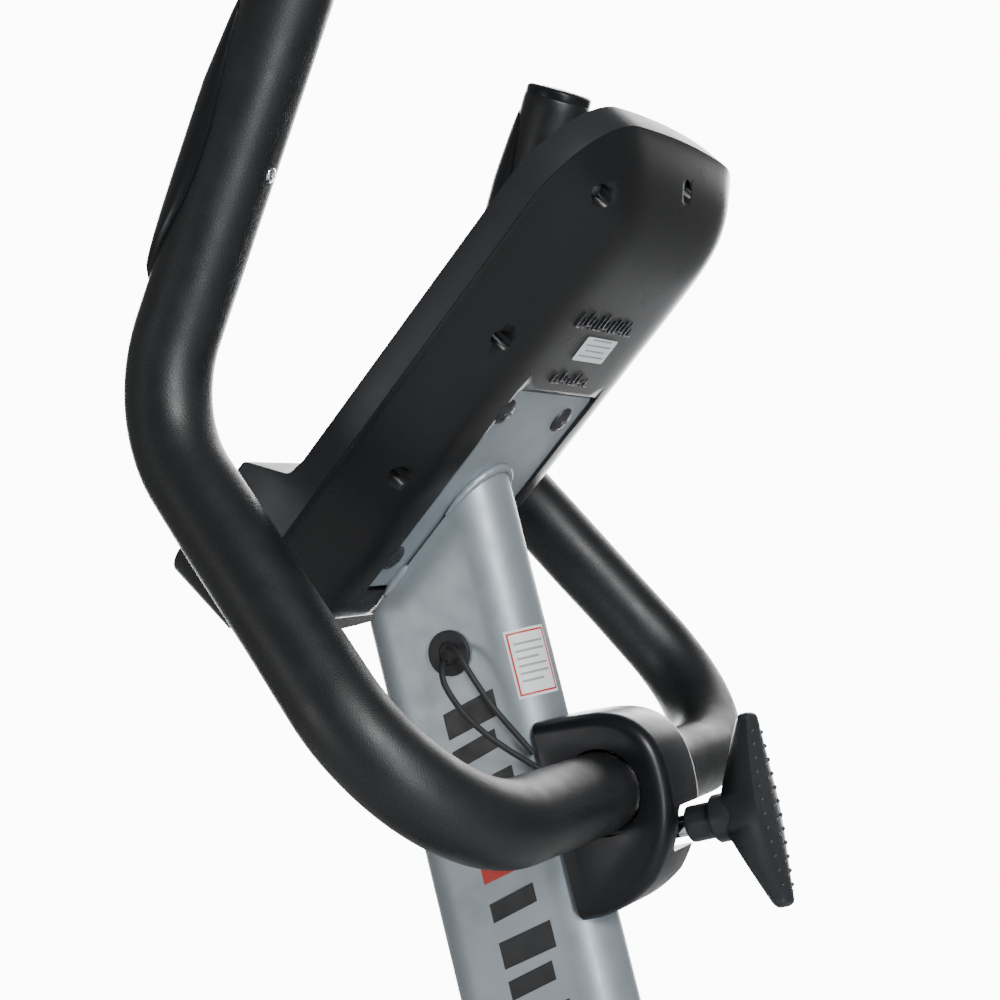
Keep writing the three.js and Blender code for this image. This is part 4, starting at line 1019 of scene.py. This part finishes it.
def add_display():
    screen = prism(box_outline(14, 154, 66, 4, steps=4), 28.9, 29.8)
    piece("display_screen", screen, CONSOLE, "screen")
    rows = [(128, "0:00", 22), (92, "00", 15), (92, "00", 15), (56, "123", 15), (56, "80", 15)]
    middles = [0, 32, -32, 32, -32]
    figures = []
    for (s, text, tall), middle in zip(rows, middles):
        width = tall * 0.82
        start = middle + width * (len(text) - 1) / 2
        for k, character in enumerate(text):
            if character in DIGITS:
                figures.append(digit(character, s, start - k * width, tall))
            else:
                figures += [prism(circle(1.2, s + d, start - k * width, 12), 30, 30.25)
                            for d in (-4, 4)]
    lines = [prism(box_outline(s, s + 0.8, 62, 0.3, steps=2), 30, 30.2) for s in (108, 72, 36)]
    lines.append(prism(box_outline(38, 106, 0.4, 0.3, steps=2), 30, 30.2))
    scale = [prism(box_outline(20, 22 + 1.6 * k, 2.2, 0.6, steps=2, middle=46 - 10.2 * k),
                   30, 30.2) for k in range(10)]
    piece("display_figures", merged(*figures, *lines, *scale), CONSOLE, "ink", sharp=60)
    lens = prism(box_outline(6, 162, 74, 10, steps=8), 33.8, 36, "Z", 0.5, steps=2)
    piece("display_window", lens, CONSOLE, "lens", "frame", "display_lens")


def add_buttons():
    top = 61.0
    profile = softened([(0.01, 52.8), (11, 52.8), (11, 54.8), (9, 54.8), (9, top),
                        (0.01, top - 0.4)], [0, 0.3, 0.3, 0, 1.6, 0], 4, closed=False)
    arrow = [(5, 0), (-3, 4.6), (-3, -4.6)]
    marks = [arrow, [(-x, y) for x, y in arrow], circle(3.4, steps=20),
             box_outline(-3.2, 3.2, 3.2, 0.6, steps=2), [(y, x) for x, y in arrow]]
    for k, mark in enumerate(marks):
        y = 30 * (k - 2)
        body = shifted(lathe(profile, "Z", 40), -64, y, 0)
        look = "red" if k == 3 else "grey"
        piece(f"button_{k + 1}_cap", body, CONSOLE, look, f"button_{k + 1}",
              f"console_button_{k + 1}")
        shape = softened(mark, 0.6, 3) if len(mark) == 3 else mark
        print_on = shifted(prism(shape, top - 0.25, top + 0.12), -64, y, 0)
        piece(f"button_{k + 1}_mark", print_on, CONSOLE, "paper", f"button_{k + 1}")


# ------------------------------------------------------------------ seat


def saddle_half(share):
    """Half width of the saddle a share of the way from its rear edge to its nose."""
    knots = [(0, 0.0), (0.02, 0.42), (0.08, 0.78), (0.22, 1.0), (0.42, 0.86), (0.6, 0.52),
             (0.8, 0.3), (0.955, 0.22), (1, 0.0)]
    xs, ys = zip(*knots)
    k = max(0, min(len(xs) - 2, int(np.searchsorted(xs, share, "right")) - 1))
    u = (share - xs[k]) / (xs[k + 1] - xs[k])
    if k == len(xs) - 2:
        return ys[k] * math.sqrt(max(0.0, 1 - u * u))
    if k == 0:
        return ys[1] * math.sqrt(max(0.0, u * (2 - u)))
    slopes = [(ys[min(j + 1, 8)] - ys[max(j - 1, 0)]) / (xs[min(j + 1, 8)] - xs[max(j - 1, 0)])
              for j in (k, k + 1)]
    wide = xs[k + 1] - xs[k]
    h00, h10 = 2 * u ** 3 - 3 * u ** 2 + 1, u ** 3 - 2 * u ** 2 + u
    h01, h11 = 3 * u ** 2 - 2 * u ** 3, u ** 3 - u ** 2
    return h00 * ys[k] + h10 * wide * slopes[0] + h01 * ys[k + 1] + h11 * wide * slopes[1]


SADDLE_X, REAR, NOSE, HALF_REAR = -332, -133, 138, 118


def saddle_outline(scale, count=44):
    """The saddle seen from above, about its own middle."""
    shares = 0.5 - 0.5 * np.cos(np.linspace(0, PI, count + 1))
    one = [(REAR + (NOSE - REAR) * s, HALF_REAR * saddle_half(s)) for s in shares]
    other = [(x, -y) for x, y in one[1:-1]][::-1]
    return [(x * scale + SADDLE_X, y * scale) for x, y in one + other]


def cushion_rings():
    """The pad from its flat underside, out round its edge and over its crown."""
    rings = []
    for low, scale in ((869, 0.90), (871, 0.97), (876, 1.0), (884, 1.005), (892, 0.99),
                       (900, 0.95), (906, 0.88), (909, 0.78), (911, 0.64), (912, 0.46),
                       (912, 0.25), (912, 0.05)):
        ring = []
        for x, y in saddle_outline(scale * 0.985):
            s = (x - SADDLE_X - REAR) / (NOSE - REAR)
            crown = (low - 869) / 43
            dip = 4.5 * math.exp(-(y / 15) ** 2) * min(1, 4 * s * (1.05 - s))
            tail = 7 * max(0, 1 - s / 0.35) ** 1.5 * math.exp(-((abs(y) - 60) / 45) ** 2)
            nose = -7 * max(0, (s - 0.7) / 0.3) ** 2
            ring.append((x, y, low + crown * (tail + nose - dip)))
        rings.append(ring)
    return rings


def puffed(pad, most=3.5, steps=16):
    """Blows the pad up a little as padded cloth, and keeps how far a point may move."""
    copy = pad.copy()
    copy.data = pad.data.copy()
    bpy.context.scene.collection.objects.link(copy)
    remesh = copy.modifiers.new("remesh", "REMESH")
    remesh.mode, remesh.voxel_size = "VOXEL", 0.0055
    baked(copy)
    start = np.array([v.co for v in copy.data.vertices])
    cloth = copy.modifiers.new("cloth", "CLOTH")
    settings = cloth.settings
    settings.quality = 4
    settings.use_pressure = True
    settings.uniform_pressure_force = 4
    settings.effector_weights.gravity = 0
    cloth.point_cache.frame_start, cloth.point_cache.frame_end = 1, steps
    for now in range(1, steps + 1):
        bpy.context.scene.frame_set(now)
    view = bpy.context.evaluated_depsgraph_get()
    moved = bpy.data.meshes.new_from_object(copy.evaluated_get(view))
    end = np.array([v.co for v in moved.vertices])
    copy.modifiers.clear()
    bpy.context.scene.frame_set(1)
    travel = end - start
    far = np.linalg.norm(travel, axis=1, keepdims=True)
    travel *= np.minimum(1, most * MM / np.maximum(far, 1e-9))
    height = (start[:, 2] - start[:, 2].min()) / 0.008
    travel *= np.clip(height, 0, 1)[:, None]
    for vertex, point in zip(copy.data.vertices, start + travel):
        vertex.co = point
    smooth = copy.modifiers.new("smooth", "SMOOTH")
    smooth.iterations = 3
    fine = copy.modifiers.new("fine", "SUBSURF")
    fine.levels = fine.render_levels = 1
    pad.data = baked(copy).data
    bpy.data.objects.remove(copy)


def add_saddle():
    pad = bare("saddle_pad", skin(cushion_rings()), FLOOR)
    puffed(pad)
    dress(pad, "skin", "seat", "saddle_cushion", 60)
    pan = prism(saddle_outline(0.93, 30), 857, 867.7, "Z", 2, steps=2)
    clamp = prism(box_outline(-380, -288, 27, 8, steps=4), 816, 860, "Z", 1, 5, steps=3)
    bar = [shifted(prism(circle(7.5, steps=24), -34, 34, "Y", 1.2), SADDLE_X + dx, 0, 832)
           for dx in (-30, 28)]
    piece("saddle_pan", merged(pan, clamp, *bar), FLOOR, "plastic", "seat", "saddle_base")
    edge = [(x, y, 871) for x, y in saddle_outline(0.975, 60)]
    line = [*edge[1:], edge[0], edge[1]]
    piping = along(line, [1.7] * len(line), 10)
    piece("saddle_piping", piping, FLOOR, "skin", "seat", (), 60)


def add_seat_post():
    post = stadium(52, 28, steps=16)
    top = (848 - 106) / math.cos(math.radians(18)) - 2
    body = prism(post, 230, top, "Z", 0.8, steps=2)
    shell = bare("seat_post_tube", body, SEAT)
    boolean(shell, prism([(x, z) for x, z in box_outline(-900, 900, 200, 1)], 848, 1200),
            FLOOR)
    holes = [shifted(prism(circle(4, steps=24), -40, -8, "X"), 0, 0, 560 + 28 * k)
             for k in range(7)]
    for hole in holes:
        boolean(shell, hole, SEAT)
    dress(shell, "chrome", "seat", "seat_post")
    tube_outline = stadium(60, 36, steps=16)
    piece("seat_tube_shell", tube(tube_outline, 2, 0, 500), SEAT, "silver", "frame",
          "seat_tube")
    sleeve = [(stadium(66, 42, steps=16), 484), (stadium(66, 42, steps=16), 503),
              (stadium(63, 39, steps=16), 508), (stadium(53, 29, steps=16), 508),
              (stadium(53, 29, steps=16), 470)]
    rings = [[(x, y, z) for x, y in line] for line, z in sleeve]
    piece("seat_tube_bush", skin(rings, (False, False)), SEAT, "plastic", "frame",
          "seat_post_bushing")


def add_seat_knob():
    face = -30
    rod = [(0.01, -26.4), (5, -26.4), (5, face - 7), (0.01, face - 7)]
    grip = softened([(0.01, face - 4), (9, face - 4), (10, face - 14), (24, face - 17),
                     (26, face - 24), (24, face - 35), (15, face - 40), (0.01, face - 41)],
                    [0, 1, 2, 4, 5, 5, 4, 0], 4, closed=False)
    body = merged(lathe(rod, "X", 24), lathe(grip, "X", 96, 8, 3.2))
    piece("seat_screw_knob", shifted(body, 0, 0, 448), SEAT, "plastic", "seat_screw",
          "seat_height_knob", 50)
    disc = lathe(softened([(0.01, face - 40.2), (11, face - 40.2), (11, face - 42),
                           (0.01, face - 42)], [0, 0, 0.7, 0], 3, closed=False), "X", 40)
    piece("seat_screw_badge", shifted(disc, 0, 0, 448), SEAT, "grey", "seat_screw")


# ------------------------------------------------------------------ floor frame


def add_floor_frame():
    for name, x, half in (("front", 455, 200), ("rear", -465, 225)):
        outline = stadium(80, 40, x, 45)
        piece(f"{name}_cross_tube", tube(outline, 2, -half, half, "Y"), FLOOR, "silver",
              "frame", f"{name}_stabilizer")
    section = box_outline(65.3, 106, 35, 10, 10, 6)
    section = [(y, z) for z, y in section]
    flat_bottom = [(y, max(z, 65.3)) for y, z in section]
    piece("spine_tube", prism(flat_bottom, -500, 500, "X", 0.8, steps=2), FLOOR, "silver",
          "frame", "base_tube")
    ends = []
    for x0, x1 in ((-503, -499.6), (499.6, 503)):
        cap = [(y * 1.02, 66 + (z - 65.3) * 0.985) for y, z in flat_bottom]
        ends.append(prism(cap, x0, x1, "X", 1.2, steps=3))
    piece("spine_plugs", merged(*ends), FLOOR, "plastic")
    for x in (455, -465):
        for side in (-1, 1):
            line = [(x + dx, side * 35.6, 66.4 + 0.2 * math.sin(1.9 * dx))
                    for dx in np.linspace(-33, 33, 60)]
            radii = [2.0 * (1 + 0.1 * math.sin(2.2 * k)) for k in range(60)]
            name = f"frame_weld_{'front' if x > 0 else 'rear'}_{'left' if side > 0 else 'right'}"
            piece(name, along(line, radii, 10), FLOOR, "silver")


def add_feet():
    def profile(x):
        return softened([(x - 45, 0), (x + 45, 0), (x + 45, 67), (x - 45, 67)],
                        [12, 12, 24, 24], 8)

    for side, sign in SIDES.items():
        own = handed(sign)
        rear = prism(profile(-465), 225.3, 265, "Y", 5, 1.2, steps=5)
        piece(f"foot_rear_{side}", own(rear), FLOOR, "plastic", "frame",
              f"rear_foot_{side}")
        front = merged(
            prism(profile(455), 200.3, 238, "Y", 3, 1.2, steps=5),
            shifted(prism(circle(4, steps=24), 233, 263, "Y"), 485, 0, 27.5),
            shifted(prism(circle(8, steps=32), 262.5, 265, "Y", 0.8), 485, 0, 27.5),
        )
        piece(f"foot_front_{side}", own(front), FLOOR, "plastic", "frame",
              f"front_foot_{side}")
        tread = softened([(4.3, 0.5), (11, 0.5), (12, 3.5), (19, 3.5), (20, 0.5), (23.6, 0.5),
                          (25, 2.2), (25, 19.8), (23.6, 21.5), (20, 21.5), (19, 18.5),
                          (12, 18.5), (11, 21.5), (4.3, 21.5)],
                         [0.3, 0.5, 0.8, 0.8, 0.5, 1, 1, 1, 1, 0.5, 0.8, 0.8, 0.5, 0.3], 3)
        wheel = shifted(lathe([*tread, tread[0]], "Y", 64), 485, 239.2, 27.5)
        piece(f"wheel_{side}", own(wheel), FLOOR, "rubber", f"{side}_wheel",
              f"transport_wheel_{side}")


# ------------------------------------------------------------------ shroud

AXLE_X, AXLE_Z = 20, 285


def shroud_outline():
    top = 506
    return (
        [(-175, 110), (506, 110)]
        + [(506 - 90 * t, 110 + 360 * t) for t in (0.25, 0.5, 0.75)]
        + bezier((416, 470), (408, 500), (400, top), (380, top), 10)
        + [(380, top), (342, top)]
        + bezier((305, top), (240, top), (180, 458), (90, 452), 16)
        + bezier((90, 452), (0, 446), (-90, 452), (-170, 476), 16)
        + bezier((-170, 476), (-230, 492), (-284, 488), (-282, 430), 14)
        + bezier((-282, 430), (-276, 330), (-240, 160), (-175, 110), 18)
    )


def shroud_half():
    outline = shroud_outline()
    levels = [(0, 0.15), (0, 2), (0.8, 3.0), (0.8, 4.2), (0, 5.2), (0, 30), (0.5, 52)]
    levels += [(0.5 + 10 * (1 - math.cos(a)), 52 + 13 * math.sin(a))
               for a in np.linspace(0, PI / 2, 9)[1:]]
    return skin([[(x, y, z) for x, z in (inset(outline, d) if d else outline)]
                 for d, y in levels], (False, True))


def add_shroud():
    half = shroud_half()
    for side, sign in SIDES.items():
        own = handed(sign)
        shell = bare(f"drive_cover_{side}", own(half), FLOOR)
        cleaned(shell.data, merge=None)
        thick = shell.modifiers.new("wall", "SOLIDIFY")
        thick.thickness, thick.offset = 2.6 * MM, -1
        baked(shell)
        boolean(shell, prism(circle(16, AXLE_X, AXLE_Z), -90, 90, "Y"), FLOOR)
        for outline, place in ((stadium(87, 42, MAST_V), MAST), (stadium(62, 38), SEAT)):
            low, high = (-900, -300) if place is MAST else (100, 700)
            boolean(shell, prism(outline, low, high), place)
        dress(shell, "plastic", "frame", f"shroud_{side}", 34)
        trim = lathe(softened([(17, 63), (84, 63), (88, 66.5), (82, 68.6), (60, 67.4),
                               (30, 69), (24, 71.5), (17, 71.5)],
                              [0, 1, 2, 3, 8, 3, 2, 0.5], 5), "Y", 96)
        piece(f"crank_trim_{side}", own(shifted(trim, AXLE_X, 0, AXLE_Z)), FLOOR, "gloss")
        ring = lathe(softened([(88.4, 64.6), (92, 64.6), (92, 66.4), (88.4, 67.2)], 0.6, 3), "Y",
                     96)
        piece(f"crank_ring_{side}", own(shifted(ring, AXLE_X, 0, AXLE_Z)), FLOOR, "silver")
        places = [(-225, 430), (-165, 150), (150, 140), (440, 140), (385, 470), (150, 425)]
        heads = [shifted(screw_head(4.2, 1.6), x, 64.8, z,
                         Matrix.Rotation(-PI / 2, 4, "X")) for x, z in places]
        piece(f"cover_screws_{side}", own(merged(*heads)), FLOOR, "steel")
        ribs = [prism([(x + 0.16 * (z - 300), z) for x, z in
                       box_outline(235 + 26 * k, 247 + 26 * k, 55 - 6 * k, 5.8, steps=5,
                                   middle=320)], 64.5, 66.4, "Y", 0.6, steps=2)
                for k in range(5)]
        piece(f"cover_ribs_{side}", own(merged(*ribs)), FLOOR, "gloss")


# ------------------------------------------------------------------ cranks and pedals

CRANK_REST = -25
CRANK_LENGTH = 170
PEDAL_Y = 150


def crank_angle(sign):
    return math.radians(CRANK_REST + (180 if sign > 0 else 0))


def add_cranks():
    count = 20
    outline = arc(0, 0, 18, 90, 270, count) + arc(CRANK_LENGTH, 0, 14, -90, 90, count)
    arm = prism(outline, 80, 94, "Y", 2.5, steps=4)
    boss = prism(circle(14), 93, 97, "Y", 1.5)
    groove = prism(box_outline(26, 146, 5, 4.8, steps=5), 93.2, 94.6, "Y", 0.5, steps=2)
    cap = prism(circle(9.5, steps=40), 96, 99, "Y", 1.4)
    for side, sign in SIDES.items():
        turn = Matrix.Rotation(-crank_angle(sign), 4, "Y")
        own = handed(sign)
        body = shifted(own(merged(arm, boss)), AXLE_X, 0, AXLE_Z, turn)
        piece(f"crank_{side}", body, FLOOR, "black_steel", "crankset", f"crank_arm_{side}")
        inlay = shifted(own(groove), AXLE_X, 0, AXLE_Z, turn)
        piece(f"crank_inlay_{side}", inlay, FLOOR, "chrome", "crankset")
        bolt = shifted(own(cap), AXLE_X, 0, AXLE_Z, turn)
        piece(f"crank_bolt_{side}", bolt, FLOOR, "chrome", "crankset")


def pedal_strap():
    """A flexible strap over the pedal, from one side round to the other."""
    half, top = 45.6, 61
    side = [(half, z) for z in np.linspace(-17, 29, 8)]
    over = bezier((half, 29), (half, top - 6), (26, top), (0, top), 14) + [(0, top)]
    centre = side + over
    centre += [(-x, z) for x, z in centre[:-1]][::-1]
    outer, inner = [], []
    for k, (y, z) in enumerate(centre):
        before, after = centre[max(0, k - 1)], centre[min(len(centre) - 1, k + 1)]
        tangent = Vector((after[0] - before[0], after[1] - before[1])).normalized()
        outer.append((y + PEDAL_Y + tangent.y * 1.3, z - tangent.x * 1.3))
        inner.append((y + PEDAL_Y - tangent.y * 1.3, z + tangent.x * 1.3))
    rings = []
    for (y0, z0), (y1, z1) in zip(outer, inner):
        rings.append([(11.5, y0, z0), (13, y0, z0), (39, y0, z0), (40.5, y0, z0),
                      (40.5, y1, z1), (39, y1, z1), (13, y1, z1), (11.5, y1, z1)])
    return skin(rings)


def add_pedals():
    def slab(x0, x1, y0, y1, z0, z1, edge=1.2):
        outline = box_outline(x0, x1, (y1 - y0) / 2, 2.5, steps=3, middle=(y0 + y1) / 2)
        return prism(outline, z0, z1, "Z", edge, steps=2)

    frame_bars = [
        slab(-48, -37, 108, 192, -19, 5), slab(37, 48, 108, 192, -19, 5),
        slab(-46, 46, 106.4, 117, -20, 6), slab(-46, 46, 183, 193.6, -20, 6),
        slab(-17, 17, 110, 190, -20.5, 6.5, 3),
    ]
    teeth = [slab(-46 + 7 * k, -43 + 7 * k, 119 + 12 * j, 125 + 12 * j, 4, 7, 0.6)
             for k in (0, 13) for j in range(6)]
    pads = [slab(-14 + 10 * k, -7 + 10 * k, 114, 186, 5.5, 7.3, 0.7) for k in range(3)]
    spindle = lathe(softened([(0.01, 80), (7, 80), (7, 94.3), (11, 94.3), (11, 99), (7, 99),
                              (7, 112), (0.01, 112)], [0, 0.5, 0, 0.8, 0.8, 0, 0.5, 0], 3,
                             closed=False), "Y", 40)
    reflectors = [slab(-49.2, -47, 130, 170, -15, 1, 0.5), slab(47, 49.2, 130, 170, -15, 1, 0.5)]
    strap = pedal_strap()
    buckle = [slab(10, 42, 193.9, 197.2, -4, 16, 0.8)]
    for side, sign in SIDES.items():
        angle = crank_angle(sign)
        x = AXLE_X + CRANK_LENGTH * math.cos(angle)
        z = AXLE_Z + CRANK_LENGTH * math.sin(angle)
        own = handed(sign)
        rides = f"{side}_pedal"

        def here(*bodies):
            return shifted(own(merged(*bodies)), x, 0, z)

        piece(f"pedal_body_{side}", here(*frame_bars, *teeth), FLOOR, "plastic", rides,
              f"pedal_{side}")
        piece(f"pedal_pads_{side}", here(*pads), FLOOR, "rubber", rides)
        piece(f"pedal_reflectors_{side}", here(*reflectors), FLOOR, "amber", rides)
        piece(f"pedal_band_{side}", here(strap), FLOOR, "rubber", rides,
              f"pedal_strap_{side}")
        piece(f"pedal_buckle_{side}", here(*buckle), FLOOR, "plastic", rides)
        piece(f"pedal_spindle_{side}", here(spindle), FLOOR, "steel", "crankset",
              f"pedal_axle_{side}")


# ------------------------------------------------------------------ CAD nodes that stay

KEPT = {
    "mast_socket": "black_steel", "bar_clamp": "black_steel", "handlebar_tube": "black_steel",
    "drive_bracket": "black_steel", "idler_arm": "black_steel", "crank_axle": "steel",
    "flywheel_axle": "steel", "brake_magnet_arm": "steel", "flywheel": "iron",
    "drive_pulley": "plastic", "idler_pulley": "plastic", "resistance_motor": "plastic",
    "drive_belt": "rubber",
}


def dress_kept_nodes():
    for name, look in KEPT.items():
        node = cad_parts[name]
        node.data.materials.clear()
        node.data.materials.append(LOOKS[look][1])
        weld = node.modifiers.new("weld", "WELD")
        weld.merge_threshold = 1e-5
        soft = node.modifiers.new("soft", "BEVEL")
        soft.width, soft.segments = 0.4 * MM, 2
        soft.limit_method, soft.angle_limit = "ANGLE", math.radians(35)


add_camera()
add_leads()
add_stage()
add_mast()
add_mast_prints()
add_grommet()
add_collar()
add_handlebar()
add_cover()
add_knob()
add_console_back()
add_console_marks()
add_plate()
add_console_front()
add_display()
add_buttons()
add_saddle()
add_seat_post()
add_seat_knob()
add_floor_frame()
add_feet()
add_shroud()
add_cranks()
add_pedals()
dress_kept_nodes()
